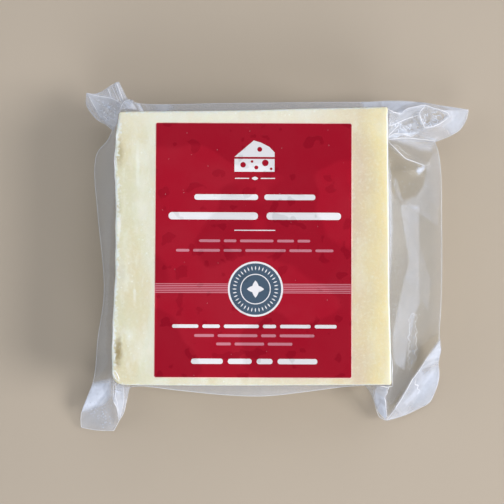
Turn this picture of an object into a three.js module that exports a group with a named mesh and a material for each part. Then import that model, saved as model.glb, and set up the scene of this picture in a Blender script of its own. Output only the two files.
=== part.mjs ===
// A square block of cheddar, vacuum-packed in a clear pouch, with a printed label on its top face.
// Millimetres, +Z up. The origin is the centre of the flat underside, and +Y is the label's top edge.

import * as THREE from "three";

// The block of cheese, which the film hugs. Its corners are seen from above, counterclockwise from the
// front right, and the front left one is worn round.
const block = {
  height: 30.5,
  corners: [[41.9, -41.6], [41.15, 42.65], [-40.6, 41.2], [-42.4, -41.65]],
  cornerRounds: [1.0, 0.8, 1.4, 4.6],
  edgeRadius: 0.7,
};

// How far each side stands out, or in where it is less than nothing, at shares of the way along it
const bulges = {
  right: [[0.15, 0], [0.3, -0.22], [0.5, -0.1], [0.9, 0]],
  back: [[0.02, 0], [0.35, -0.1], [0.5, -0.3], [0.7, -0.2], [0.97, 0]],
  left: [
    [0.02, 0], [0.05, 0.35], [0.09, 0.85], [0.2, 0.85], [0.35, 0.42], [0.5, 0.03], [0.7, 0.13], [0.86, 0.4],
    [0.94, 0],
  ],
  front: [[0.06, 0], [0.3, 0.2], [0.5, 0.2], [0.9, 0]],
};

// The left side, cut last, crumbled in shallow dents: their depth, and the two waves that they follow,
// each with its turns along the side, its start and its share of the depth
const crumbled = {
  side: 2,
  depth: 0.35,
  waves: [{ turns: 3.75, start: 0, share: 0.3 }, { turns: 8.6, start: 1, share: 0.2 }],
};

// The film: its thickness where two sheets lie on each other, its distance from the block, how far across
// the free film and up the wall its cross-section has points, and the cross-sections in each span of edge
const film = {
  thickness: 0.5,
  wallGap: 0.3,
  acrossFlange: [0.13, 0.28, 0.45, 0.65, 0.83, 1],
  upTheWall: [0.45, 0.78],
  sectionsInSpan: 3,
};

// The height at which the two sheets meet on each side, and how fast the flange falls away from the wall
const seams = {
  right: { height: 11, fall: 1.7 },
  back: { height: 12, fall: 1.2 },
  left: { height: 12, fall: 1.4 },
  front: { height: 12, fall: 1.2 },
};

// Tents of film that stand off the block, one down each corner and a puffed one beside the back left
// corner. A tent's ridge runs from the block's top edge, at a place from 0 to 4 round its outline, out by
// reach at that height.
const tents = {
  frontRight: { place: 0, reach: [0.6, -5.4], height: 10, halfWidth: 7.5 },
  backRight: { place: 1, reach: [5.4, 0.6], height: 14, halfWidth: 9 },
  backLeft: { place: 2, reach: [-1.3, 4.0], height: 16, halfWidth: 6 },
  frontLeft: { place: 3, reach: [-2.2, -3.4], height: 11, halfWidth: 7 },
  backLeftPuff: { place: 1.955, reach: [0, 3.4], height: 18, halfWidth: 4.5 },
};
const tentFlare = 1.8;

// The pouch's cut edge, counterclockwise from the right: a flange along each side of the block and an
// ear past each corner, each point as X, Y and height. A point that is given twice is a sharp corner. An
// ear's tip is its point that the film reaches straight from the block's corner.
const flanges = {
  right: [
    [60.4, -28.1, 2.8], [61.2, -18, 2], [61.6, -4, 2], [61.6, 12, 2], [61.5, 22, 2.5], [61, 27.8, 3.5],
  ],
  back: [
    [37.8, 47.5, 9], [22, 47.4, 9], [5, 47.2, 9], [-12, 47, 9], [-25, 46.6, 9.5], [-33, 46.5, 10.5],
  ],
  left: [
    [-46.5, 35.2, 8], [-49.8, 31.5, 7], [-50.8, 26, 6.5], [-49.8, 12, 6], [-47.6, -13, 6], [-49.6, -29, 6],
    [-50.3, -38.4, 6],
  ],
  front: [
    [-35.2, -43.3, 9], [-24, -44.6, 8.5], [-8, -46.2, 8], [4, -46.5, 8], [17, -45.1, 8.5], [29, -43.5, 9],
  ],
};
const ears = {
  backRight: {
    tip: 7,
    edge: [
      [60, 32.6, 4.8], [58.7, 34.9, 6.3], [58.7, 34.9, 6.3], [61, 35.7, 7], [63.9, 36.9, 7.5], [66.7, 38.7, 8],
      [68.7, 42, 9], [69.1, 44.8, 10], [69.1, 44.8, 10], [60, 46.2, 10], [54.9, 47, 10], [48.5, 47.6, 10],
      [43, 47.7, 9.5],
    ],
  },
  backLeft: {
    tip: 7,
    edge: [
      [-35.6, 46.4, 12], [-35.6, 46.4, 12], [-38.8, 46.9, 14], [-39.3, 47.1, 14.5], [-39.3, 47.1, 14.5],
      [-40.3, 49.1, 16], [-41.3, 51.2, 17], [-42, 52.5, 17], [-42, 52.5, 17], [-44.2, 51.6, 16.5],
      [-48.4, 49.5, 14], [-50.2, 49.1, 13.4], [-52.5, 49.5, 13], [-52.5, 49.5, 13], [-53, 46.4, 10.8],
      [-51.6, 43.8, 9.2], [-49.5, 41.6, 8.6], [-47.1, 40.3, 8.6], [-44.8, 38.4, 9], [-44.8, 38.4, 9],
    ],
  },
  frontLeft: {
    tip: 8,
    edge: [
      [-51, -42.5, 6.5], [-52, -45.1, 6], [-53.4, -48.4, 4.6], [-54.8, -51.8, 3], [-55.4, -54.8, 1.6],
      [-55.3, -57.1, 1.2], [-55.3, -57.1, 1.2], [-50.9, -58, 1.2], [-44.8, -58.2, 1.2], [-44.8, -58.2, 1.2],
      [-42.9, -54.8, 2.8], [-41.4, -52.3, 4], [-40.2, -48, 6], [-39.2, -43.6, 8], [-39.2, -43.6, 8],
    ],
  },
  frontRight: {
    tip: 8,
    edge: [
      [36.5, -43.1, 8.4], [38.4, -43.2, 8], [38.4, -43.2, 8], [39.1, -47.2, 5.8], [39.9, -51, 3.4],
      [41.2, -53.8, 2], [43.1, -54.8, 1.6], [43.1, -54.8, 1.6], [49, -53.3, 1.5], [54, -51, 1.5],
      [57.3, -49.1, 1.5], [59.2, -45.6, 1.5], [60.3, -42, 1.6], [60.5, -39, 1.8], [60.1, -36, 2.3],
      [60.7, -32.5, 2.8],
    ],
  },
};

// Creases that stand up from the free film, each with its line seen from above, its rise and half width
const creases = {
  frontRightFold: {
    line: [[43, -54], [47.8, -46.9], [50.9, -41.6], [53.4, -38.4], [57.1, -32.8], [59.9, -29.2]],
    rise: 3.4,
    halfWidth: 5,
  },
  frontRightBranch: { line: [[53.4, -38.4], [57.2, -36.4], [60.4, -35.2]], rise: 1.6, halfWidth: 2.2 },
  frontRightGusset: {
    line: [[42.3, -45.2], [41.9, -46.6], [42.5, -49.6], [43.1, -53.5]],
    rise: 1.8,
    halfWidth: 1.8,
  },
  backRightEyeFar: {
    line: [[46.9, 42.7], [49.2, 44.6], [54.7, 45.9], [62.3, 43.5]],
    rise: 1.6,
    halfWidth: 1.8,
  },
  backRightEyeNear: {
    line: [[62.7, 42.6], [58.9, 39.8], [54.9, 39], [52.9, 42.7]],
    rise: 1.6,
    halfWidth: 1.8,
  },
  backRightGather: {
    line: [[43.2, 35.8], [47.9, 37], [52.5, 37.2], [58.5, 35.1]],
    rise: 1.8,
    halfWidth: 2,
  },
  rightFlangeCrease: { line: [[42.7, 34.5], [49.1, 29.3], [55.9, 27.3]], rise: 1.2, halfWidth: 1.8 },
  backLeftFold: {
    line: [[-40.9, 45.4], [-44.3, 47.3], [-48.2, 48.2], [-52.1, 49.2]],
    rise: 1.8,
    halfWidth: 2.2,
  },
  backLeftOuterPleat: { line: [[-42.9, 52.2], [-40.9, 46.4]], rise: 0.9, halfWidth: 0.8 },
  backLeftInnerPleat: { line: [[-45.5, 50.4], [-44.3, 47.7]], rise: 0.8, halfWidth: 0.8 },
  backLeftBend: { line: [[-51.9, 48.7], [-50.1, 45.4], [-48.4, 42.3]], rise: 1.4, halfWidth: 2.2 },
  frontLeftFold: {
    line: [[-44, -44.4], [-44, -47.8], [-43.1, -50.5], [-42.8, -54.6]],
    rise: 1.8,
    halfWidth: 2.2,
  },
  frontLeftBend: { line: [[-50.6, -42.5], [-44.6, -40.8]], rise: 1.2, halfWidth: 3.5 },
};

// The pocket of air that lifts the right flange near the back
const airPocket = { centre: [50, 23], reach: [6.5, 7.5], rise: 1.5 };

// Creases and pocket grow over this share of the way across the free film, so that the seam stays clean
const seamMargin = 0.3;

// The printed label, which lies on the film over the block's top face
const label = {
  width: 59.5,
  length: 77,
  thickness: 0.25,
  cornerRadius: 0.7,
  centre: [0.3, -0.9],
  turnDegrees: -0.25,
  lift: 0.1,
};

const colours = { cheeseInFilm: 0xe6dfc4, label: 0x9a1430 };

const flat = ([x, y]) => new THREE.Vector2(x, y);
const corners = block.corners.map(flat);
const sides = corners.length;
const sideLength = (side) => corners[side % sides].distanceTo(corners[(side + 1) % sides]);
const seamOf = (place) => Object.values(seams)[Math.floor(place) % sides];

// How far a side is worn in at a share of its length, which is nothing at its corners
function wornIn(side, share) {
  if (side !== crumbled.side) return 0;
  const wave = crumbled.waves.reduce((sum, { turns, start, share: part }) => (
    sum + part * Math.sin(2 * Math.PI * turns * share + start)
  ), 0.5);
  return crumbled.depth * Math.sin(share * Math.PI) * wave;
}

// How far a side stands out at a share of its length, from its bulges
function standOut(side, share) {
  const points = Object.values(bulges)[side];
  const next = points.findIndex(([at]) => at > share);
  if (next < 1) return 0;
  const [[start, from], [end, to]] = points.slice(next - 1, next + 1);
  return THREE.MathUtils.mapLinear(share, start, end, from, to);
}

// The block's outline at a place from 0 to 4, whose whole number is the side and whose rest is the share
// of that side. Each corner is a curve between the two points where its round begins.
function outline(place) {
  const side = Math.floor(place) % sides;
  const share = place - Math.floor(place);
  const nearer = share < 0.5
    ? { corner: side, distance: share * sideLength(side), turn: 1 }
    : { corner: side + 1, distance: (1 - share) * sideLength(side), turn: -1 };
  const round = block.cornerRounds[nearer.corner % sides];
  if (nearer.distance < round) {
    const here = corners[nearer.corner % sides];
    const before = corners[(nearer.corner + sides - 1) % sides];
    const after = corners[(nearer.corner + 1) % sides];
    const start = here.clone().add(before.clone().sub(here).setLength(round));
    const finish = here.clone().add(after.clone().sub(here).setLength(round));
    const along = 0.5 + (nearer.turn * nearer.distance) / (2 * round);
    return start.lerp(here, along).lerp(here.clone().lerp(finish, along), along);
  }
  const from = corners[side];
  const to = corners[(side + 1) % sides];
  const inward = to.clone().sub(from).normalize().rotateAround(new THREE.Vector2(), Math.PI / 2);
  const inset = wornIn(side, share) - standOut(side, share);
  return from.clone().lerp(to, share).addScaledVector(inward, inset);
}

function outward(place) {
  const step = 0.012;
  const along = outline(place + step).sub(outline(place + sides - step));
  return new THREE.Vector2(along.y, -along.x).normalize();
}

// How much of a tent there is at a place: 1 on its ridge and 0 where the film meets the wall
function tentShare(tent, place) {
  const away = Math.abs(((place - tent.place + sides + sides / 2) % sides) - sides / 2);
  return Math.max(0, 1 - (away * sideLength(Math.floor(tent.place))) / tent.halfWidth);
}

// The height at which the two sheets meet
function seamHeight(place) {
  const base = seamOf(place).height;
  return Object.values(tents).reduce((height, tent) => (
    height + (tent.height - base) * tentShare(tent, place)
  ), base);
}

// The film beside the block: on the wall where its share is 0, and at the seam where its share is 1
function wallFilm(place, share) {
  const at = outline(place).addScaledVector(outward(place), film.wallGap * share);
  for (const tent of Object.values(tents)) {
    at.addScaledVector(flat(tent.reach), tentShare(tent, place) * share ** tentFlare);
  }
  return at;
}

function distanceToLine(point, line) {
  let nearest = Infinity;
  for (let i = 0; i + 1 < line.length; i++) {
    const a = flat(line[i]);
    const b = flat(line[i + 1]).sub(a);
    const share = THREE.MathUtils.clamp(point.clone().sub(a).dot(b) / b.lengthSq(), 0, 1);
    nearest = Math.min(nearest, point.distanceTo(a.addScaledVector(b, share)));
  }
  return nearest;
}

// What the creases and the air pocket add to the free film's height at a point
function lift(x, y) {
  const point = new THREE.Vector2(x, y);
  let height = 0;
  for (const { line, rise, halfWidth } of Object.values(creases)) {
    height = Math.max(height, rise * (1 - distanceToLine(point, line) / halfWidth));
  }
  const across = (x - airPocket.centre[0]) / airPocket.reach[0];
  const along = (y - airPocket.centre[1]) / airPocket.reach[1];
  return height + airPocket.rise * Math.max(0, 1 - across ** 2 - along ** 2);
}

// The place on the block's outline that a point of a flange lies straight out from
function placeBeside(side, [x, y]) {
  const from = corners[side];
  const along = corners[(side + 1) % sides].clone().sub(from);
  return side + new THREE.Vector2(x, y).sub(from).dot(along) / along.lengthSq();
}

// The pouch's cut edge as a closed run of points, each with the place on the block that its film comes
// from. An ear shares out the outline by its length, up to the block's corner and from there to the next
// flange.
function cutEdge() {
  const runs = [
    [flanges.right, ears.backRight],
    [flanges.back, ears.backLeft],
    [flanges.left, ears.frontLeft],
    [flanges.front, ears.frontRight],
  ];
  return runs.flatMap(([flange, ear], side) => {
    const corner = side + 1;
    const nextFlange = runs[corner % sides][0];
    const last = placeBeside(side, flange.at(-1));
    const next = corner + (placeBeside(corner % sides, nextFlange[0]) % 1);
    const run = [flange.at(-1), ...ear.edge, nextFlange[0]].map((point) => new THREE.Vector3(...point));
    let total = 0;
    const lengthTo = run.map((point, i) => {
      total += i > 0 ? point.distanceTo(run[i - 1]) : 0;
      return total;
    });
    const toTip = lengthTo[ear.tip + 1];
    const earPlace = (i) => (i <= ear.tip
      ? THREE.MathUtils.mapLinear(lengthTo[i + 1], 0, toTip, last, corner)
      : THREE.MathUtils.mapLinear(lengthTo[i + 1], toTip, total, corner, next));
    return [
      ...flange.map((point) => ({ point, place: placeBeside(side, point) })),
      ...ear.edge.map((point, i) => ({ point, place: earPlace(i) })),
    ];
  });
}

// One cross-section of the packed block, from the middle of its top face over the edge, down the wall,
// out along the free film, back under it and in along the underside
function section(place, rim) {
  const { height, edgeRadius } = block;
  const half = film.thickness / 2;
  const out = outward(place);
  const meets = seamHeight(place);

  const roundedEdge = [0, 0.5, 1].map((turn) => {
    const angle = (turn * Math.PI) / 2;
    const at = outline(place).addScaledVector(out, edgeRadius * (Math.sin(angle) - 1));
    return { at, drop: edgeRadius * (1 - Math.cos(angle)) };
  });
  const wall = film.upTheWall.map((share) => ({ at: wallFilm(place, share), share }));
  const begin = wallFilm(place, 1);
  const freeFilm = [0, ...film.acrossFlange].map((share) => {
    const x = THREE.MathUtils.lerp(begin.x, rim.x, share);
    const y = THREE.MathUtils.lerp(begin.y, rim.y, share);
    const fallen = 1 - (1 - share) ** seamOf(place).fall;
    const rise = lift(x, y) * THREE.MathUtils.smoothstep(share, 0, seamMargin);
    return new THREE.Vector3(x, y, THREE.MathUtils.lerp(meets, rim.z, fallen) + rise);
  });

  const raised = ({ x, y }, z) => new THREE.Vector3(x, y, z);
  const edgeTo = (from, to) => ({ at, share }) => raised(at, THREE.MathUtils.lerp(from, to, share));
  return [
    ...roundedEdge.map(({ at, drop }) => raised(at, height - drop)),
    ...wall.map(edgeTo(height - edgeRadius, meets + half)),
    ...freeFilm.map((p) => raised(p, p.z + half)),
    ...freeFilm.map((p) => raised(p, Math.max(p.z - half, half))).reverse(),
    ...wall.map(edgeTo(edgeRadius, meets - half)).reverse(),
    ...roundedEdge.map(({ at, drop }) => raised(at, drop)).reverse(),
  ];
}

// The sealed pouch and the cheese in it, as one closed surface of cross-sections round the block
function sealedPouchGeometry() {
  const edge = cutEdge();
  const curve = new THREE.CatmullRomCurve3(
    edge.map(({ point }) => new THREE.Vector3(...point)),
    true,
    "centripetal",
  );
  const rings = edge.flatMap(({ point, place }, span) => {
    const next = edge[(span + 1) % edge.length];
    if (flat(point).equals(flat(next.point))) return [];
    const nextPlace = span + 1 < edge.length ? next.place : next.place + sides;
    return Array.from({ length: film.sectionsInSpan }, (_, i) => {
      const share = i / film.sectionsInSpan;
      const rim = curve.getPoint((span + share) / edge.length);
      return section(THREE.MathUtils.lerp(place, nextPlace, share) % sides, rim);
    });
  });

  const around = rings.length;
  const across = rings[0].length;
  const topCentre = 0;
  const bottomCentre = 1;
  const positions = [0, 0, block.height, 0, 0, 0];
  rings.flat().forEach((p) => positions.push(p.x, p.y, p.z));
  const vertex = (ring, k) => 2 + (ring % around) * across + k;
  const faces = [];
  for (let ring = 0; ring < around; ring++) {
    faces.push(topCentre, vertex(ring, 0), vertex(ring + 1, 0));
    faces.push(bottomCentre, vertex(ring + 1, across - 1), vertex(ring, across - 1));
    for (let k = 0; k + 1 < across; k++) {
      faces.push(vertex(ring, k), vertex(ring, k + 1), vertex(ring + 1, k + 1));
      faces.push(vertex(ring, k), vertex(ring + 1, k + 1), vertex(ring + 1, k));
    }
  }
  const geometry = new THREE.BufferGeometry();
  geometry.setAttribute("position", new THREE.Float32BufferAttribute(positions, 3));
  geometry.setIndex(faces);
  geometry.computeVertexNormals();
  return geometry;
}

function labelGeometry() {
  const { width, length, cornerRadius, thickness } = label;
  const x = width / 2 - cornerRadius;
  const y = length / 2 - cornerRadius;
  const shape = new THREE.Shape();
  shape.absarc(x, y, cornerRadius, 0, Math.PI / 2);
  shape.absarc(-x, y, cornerRadius, Math.PI / 2, Math.PI);
  shape.absarc(-x, -y, cornerRadius, Math.PI, 1.5 * Math.PI);
  shape.absarc(x, -y, cornerRadius, 1.5 * Math.PI, 2 * Math.PI);
  return new THREE.ExtrudeGeometry(shape, { depth: thickness, bevelEnabled: false, curveSegments: 5 });
}

const sealedPouch = new THREE.Mesh(
  sealedPouchGeometry(),
  new THREE.MeshStandardMaterial({ color: colours.cheeseInFilm, roughness: 0.25, metalness: 0 }),
);
sealedPouch.name = "sealed_pouch";

const labelPiece = new THREE.Mesh(
  labelGeometry(),
  new THREE.MeshStandardMaterial({ color: colours.label, roughness: 0.3, metalness: 0 }),
);
labelPiece.name = "label";
labelPiece.position.set(...label.centre, block.height + label.lift);
labelPiece.rotation.z = THREE.MathUtils.degToRad(label.turnDegrees);

const vacuumPackedCheddar = new THREE.Group();
vacuumPackedCheddar.add(sealedPouch, labelPiece);

export default vacuumPackedCheddar;
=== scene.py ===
import math

import bpy
import numpy as np
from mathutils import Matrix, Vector
from mathutils.bvhtree import BVHTree
from mathutils.geometry import delaunay_2d_cdt


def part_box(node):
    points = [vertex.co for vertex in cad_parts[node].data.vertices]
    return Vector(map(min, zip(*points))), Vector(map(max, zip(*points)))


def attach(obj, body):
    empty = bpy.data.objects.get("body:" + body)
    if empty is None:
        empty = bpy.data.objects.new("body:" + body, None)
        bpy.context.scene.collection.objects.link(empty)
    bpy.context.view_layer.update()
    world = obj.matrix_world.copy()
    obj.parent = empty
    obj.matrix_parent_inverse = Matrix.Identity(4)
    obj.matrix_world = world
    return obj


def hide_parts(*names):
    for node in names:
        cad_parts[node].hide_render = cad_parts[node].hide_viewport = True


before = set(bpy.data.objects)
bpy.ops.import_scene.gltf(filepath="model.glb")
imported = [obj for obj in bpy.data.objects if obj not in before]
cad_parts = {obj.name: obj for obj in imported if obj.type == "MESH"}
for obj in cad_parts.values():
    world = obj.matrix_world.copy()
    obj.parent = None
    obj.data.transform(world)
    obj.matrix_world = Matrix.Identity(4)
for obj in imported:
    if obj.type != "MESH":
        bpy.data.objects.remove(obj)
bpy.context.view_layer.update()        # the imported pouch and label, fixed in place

mm = 0.001               # every size below is in millimetres, and every mesh is scaled to metres by this

# The block of cheese, which the film hugs. Corners run counterclockwise from the front right.
block = {
    "height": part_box("sealed_pouch")[1].z / mm,
    "corners": [(41.9, -41.6), (41.15, 42.65), (-40.6, 41.2), (-42.4, -41.65)],
    "cornerRounds": [1.0, 0.8, 1.4, 4.6],
    "edgeRadius": 0.7,
    "bulges": [                  # for each side, how far it stands out at shares of the way along it
        [(0.15, 0), (0.3, -0.22), (0.5, -0.1), (0.9, 0)],
        [(0.02, 0), (0.35, -0.1), (0.5, -0.3), (0.7, -0.2), (0.97, 0)],
        [(0.02, 0), (0.05, 0.35), (0.09, 0.85), (0.2, 0.85), (0.35, 0.42), (0.5, 0.03), (0.7, 0.13),
         (0.86, 0.4), (0.94, 0)],
        [(0.06, 0), (0.3, 0.2), (0.5, 0.2), (0.9, 0)],
    ],
    "crumbledSide": 2,
    "crumbleDepth": 0.35,
    "crumbleWaves": [(3.75, 0, 0.3), (8.6, 1, 0.2)],     # turns along the side, start, share of the depth
    "chipDepth": 0.55,           # small chips along the top of the crumbled side
    "chipDepthElsewhere": 0.12,
    "chipLength": 3.1,
    "chipSeed": 41,
    "chipReach": (0.94, 1),      # chips and their fall fade in between these shares of the way to the edge
    "chipFall": 0.5,
    "middleRings": [0.04, 0.25, 0.45, 0.6],              # sparse under the label, dense in the margins
    "marginStart": 0.68,
    "marginRings": 12,
    "edgeRings": 5,
    "dipInMargin": 0.19,         # how far the top face dips, beside the label and under it
    "dipUnderLabel": 0.03,
    "dipWaves": [(0.6, 24, 3), (0.4, 6.5, 5)],           # share, size, seed
    "labelBridge": (-1.5, 2.5),  # how far outside the label its bridge starts and ends
}

corners = np.array(block["corners"])
nextCorners = np.roll(corners, -1, axis=0)
lengths = np.linalg.norm(nextCorners - corners, axis=1)
along = (nextCorners - corners) / lengths[:, None]
inward = np.stack([-along[:, 1], along[:, 0]], axis=1)
rounds = np.array(block["cornerRounds"])
sides = len(corners)


def smooth(low, high, value):
    t = np.clip((value - low) / (high - low), 0, 1)
    return t * t * (3 - 2 * t)


# Waves of several sizes and headings added up, the same on every run
def waves(x, y, size, seed, count, spread, shape):
    draw = np.random.RandomState(seed)
    total = np.zeros_like(x)
    for _ in range(count):
        heading, turn, scale = draw.uniform(0, np.pi), draw.uniform(0, 6.28), size * draw.uniform(*spread)
        total += shape(np.pi * (x * math.cos(heading) + y * math.sin(heading)) / scale, turn)
    return total / count


def ripples(x, y, size, seed, count=7):
    return waves(x, y, size, seed, count, (0.6, 1.7), lambda phase, turn: np.sin(2 * phase + turn))


# The same with sharp ridges, for film that is crushed
def crumples(x, y, size, seed, count=4):
    return waves(x, y, size, seed, count, (0.7, 1.6), lambda phase, turn: 1 - np.abs(np.sin(phase + turn)))


# Places on the outline run from 0 to 4: the whole number is the side, the rest is the share of that side
def sideOf(places):
    return np.floor(places).astype(int) % sides


def outlineAt(places):
    side = sideOf(places)
    share = (places - np.floor(places))[..., None]
    wave = 0.5 + sum(part * np.sin(2 * np.pi * turns * share + start)
                     for turns, start, part in block["crumbleWaves"])
    worn = block["crumbleDepth"] * np.sin(share * np.pi) * wave * (side[..., None] == block["crumbledSide"])
    stand = sum(np.where(side == k, np.interp(share[..., 0], *zip(*bulge)), 0)
                for k, bulge in enumerate(block["bulges"]))
    straight = corners[side] + share * (nextCorners - corners)[side]
    straight = straight + inward[side] * (worn - stand[..., None])
    first = share < 0.5
    corner = np.where(first[..., 0], side, side + 1) % sides
    distance = np.where(first, share, 1 - share) * lengths[side][..., None]
    radius = rounds[corner][..., None]
    here = corners[corner]
    start = here - along[corner - 1] * radius
    finish = here + along[corner] * radius
    t = 0.5 + np.where(first, 1, -1) * distance / (2 * radius)
    curved = (1 - t) ** 2 * start + 2 * t * (1 - t) * here + t ** 2 * finish
    return np.where(distance < radius, curved, straight)


def outwardAt(places):
    step = 0.012
    tangent = outlineAt(places + step) - outlineAt(places - step)
    normal = np.stack([tangent[..., 1], -tangent[..., 0]], axis=-1)
    return normal / np.linalg.norm(normal, axis=-1, keepdims=True)


def awayFromCorner(places):
    return np.abs((places + 0.5) % 1 - 0.5)


def chipsAt(places):
    s = places * lengths.mean()
    rough = crumples(s, s * 0, block["chipLength"], block["chipSeed"], 5) * 1.6 - 0.75
    onSide = sideOf(places) == block["crumbledSide"]
    depth = np.where(onSide, block["chipDepth"], block["chipDepthElsewhere"])
    return depth * np.clip(rough, 0, 1) * smooth(0.02, 0.08, awayFromCorner(places))


labelLow, labelHigh = (np.array(corner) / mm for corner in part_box("label"))


# How far the top face dips, for the cheese and the film on it, and less under the label, which bridges it
def topDip(x, y):
    outside = np.maximum.reduce([labelLow[0] - x, x - labelHigh[0], labelLow[1] - y, y - labelHigh[1]])
    margin = smooth(*block["labelBridge"], outside)
    wave = sum(share * (0.5 + 0.5 * ripples(x, y, size, seed)) for share, size, seed in block["dipWaves"])
    return -(block["dipUnderLabel"] + (block["dipInMargin"] - block["dipUnderLabel"]) * margin) * wave


middleDip = topDip(np.zeros(1), np.zeros(1))[0]


def raised(xy, z):
    return np.column_stack([xy, np.broadcast_to(z, len(xy))])


# Rings of the block from the middle of its top face to the middle of its underside, set in by inset
def blockRings(places, inset, wallZ):
    radius = block["edgeRadius"]
    out, edge, chips = outwardAt(places), outlineAt(places), chipsAt(places)
    flat = edge - out * (radius + inset)
    turns = np.linspace(0, np.pi / 2, block["edgeRings"])
    columns = []

    def topRing(xy, chipped, drop=0.0, dipped=1.0):
        xy = xy - out * chips[:, None] * chipped
        drop = drop + block["chipFall"] * chips * chipped
        columns.append(raised(xy, block["height"] - inset - drop + topDip(xy[:, 0], xy[:, 1]) * dipped))

    for share in block["middleRings"] + list(np.linspace(block["marginStart"], 1, block["marginRings"]))[:-1]:
        topRing(flat * share, smooth(*block["chipReach"], share))
    rounded = [(flat + out * radius * math.sin(turn), math.cos(turn)) for turn in turns]
    for xy, cos in rounded:
        topRing(xy, cos, radius * (1 - cos), cos)
    columns += [raised(edge - out * inset, z) for z in wallZ]
    columns += [raised(xy, inset + radius * (1 - cos)) for xy, cos in rounded[::-1]]
    columns += [raised(flat * share, inset) for share in block["middleRings"][::-1]]
    return np.stack(columns, axis=1)


# A closed skin over rings of points that all run the same way, with one point closing each end
def skin(rings, firstPoint, lastPoint):
    around, across = rings.shape[:2]
    verts = np.concatenate([rings.reshape(-1, 3), [firstPoint, lastPoint]])
    first, last = len(verts) - 2, len(verts) - 1
    i, k = np.meshgrid(np.arange(around), np.arange(across - 1), indexing="ij")
    j = (i + 1) % around
    quads = np.stack([i * across + k, i * across + k + 1, j * across + k + 1, j * across + k], axis=-1)
    faces = quads.reshape(-1, 4).tolist()
    for a in range(around):
        b = (a + 1) % around
        faces.append((first, a * across, b * across))
        faces.append((last, b * across + across - 1, a * across + across - 1))
    return verts, faces


def blockSkin(places, inset, wallRings):
    wallZ = np.linspace(block["height"] - block["edgeRadius"], block["edgeRadius"], wallRings + 2)[1:-1]
    return skin(blockRings(places, inset, wallZ), (0, 0, block["height"] - inset + middleDip), (0, 0, inset))


# Quads between rings of points that follow each other in a list
def bands(rings, around, first=0, closed=False):
    starts = [first + ring * around for ring in range(rings)]
    follow = starts[1:] + starts[:1] if closed else starts[1:]
    return [(low + k, low + (k + 1) % around, high + (k + 1) % around, high + k)
            for low, high in zip(starts, follow) for k in range(around)]


def newObject(name, verts, faces, materials, materialOf=None):
    mesh = bpy.data.meshes.new(name)
    mesh.from_pydata((np.asarray(verts) * mm).tolist(), [], faces)
    for material in materials:
        mesh.materials.append(material)
    if materialOf is not None:
        mesh.polygons.foreach_set("material_index", materialOf)
    mesh.polygons.foreach_set("use_smooth", [True] * len(mesh.polygons))
    mesh.update()
    piece = bpy.data.objects.new(name, mesh)
    bpy.context.scene.collection.objects.link(piece)
    return piece


def setShare(piece, name, values):
    attribute = piece.data.attributes.new(name, "FLOAT", "POINT")
    attribute.data.foreach_set("value", np.asarray(values, np.float32))


# A node with its settings and its inputs, where an input is a value or another node's output
def node(tree, kind, inputs=None, **settings):
    made = tree.nodes.new("ShaderNode" + kind)
    for key, value in settings.items():
        setattr(made, key, value)
    for key, value in (inputs or {}).items():
        if isinstance(value, bpy.types.NodeSocket):
            tree.links.new(value, made.inputs[key])
        else:
            made.inputs[key].default_value = value
    return made


def newMaterial(name, surface, *looks):
    material = bpy.data.materials.new(name)
    material.use_nodes = True
    tree = material.node_tree
    tree.nodes.clear()
    node(tree, "OutputMaterial", {"Surface": surface(tree, *looks)})
    return material


# What setShare has stored in a mesh
def stored(tree, name):
    return node(tree, "Attribute", attribute_name=name).outputs["Fac"]


# The helpers below find their tree from a node's output that they are given
def maths(operation, a, b=0.0, clamp=False):
    tree = (a if isinstance(a, bpy.types.NodeSocket) else b).id_data
    return node(tree, "Math", {0: a, 1: b}, operation=operation, use_clamp=clamp).outputs[0]


def times(a, b):
    return maths("MULTIPLY", a, b)


def plus(a, b, clamp=False):
    return maths("ADD", a, b, clamp)


def ramp(value, fromMin, fromMax, toMin=0.0, toMax=1.0, kind="SMOOTHSTEP"):
    limits = {"From Min": fromMin, "From Max": fromMax, "To Min": toMin, "To Max": toMax}
    return node(value.id_data, "MapRange", {"Value": value, **limits}, interpolation_type=kind).outputs[0]


def blend(share, a, b):
    return node(share.id_data, "Mix", {0: share, 6: a, 7: b}, data_type="RGBA").outputs[2]


def vectorMaths(operation, a, b=(0, 0, 0)):
    return node(a.id_data, "VectorMath", {0: a, 1: b}, operation=operation).outputs


# Object coordinates in millimetres, stretched by a factor along each axis
def placeInMm(tree, stretch=(1, 1, 1)):
    coords = node(tree, "TexCoord").outputs["Object"]
    return vectorMaths("MULTIPLY", coords, [f / mm for f in stretch])[0]


# Noise whose lumps are about size millimetres across
def noise(place, size, detail=3.0, roughness=0.5, output="Fac"):
    look = {"Vector": place, "Scale": 1 / size, "Detail": detail, "Roughness": roughness}
    return node(place.id_data, "TexNoise", look).outputs[output]


# The same as a share, from where it starts on the noise's scale to where it is full
def lumps(place, look, limits):
    return ramp(noise(place, *look), *limits)


def bump(height, strength, distance, **more):
    look = {"Height": height, "Strength": strength, "Distance": distance * mm, **more}
    return node(height.id_data, "Bump", look).outputs["Normal"]


# A screen colour, from 0 to 255, as the linear colour that Blender works in
def paint(colour):
    return tuple(((c / 255 + 0.055) / 1.055) ** 2.4 if c > 10 else c / 255 / 12.92 for c in colour) + (1,)


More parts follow.
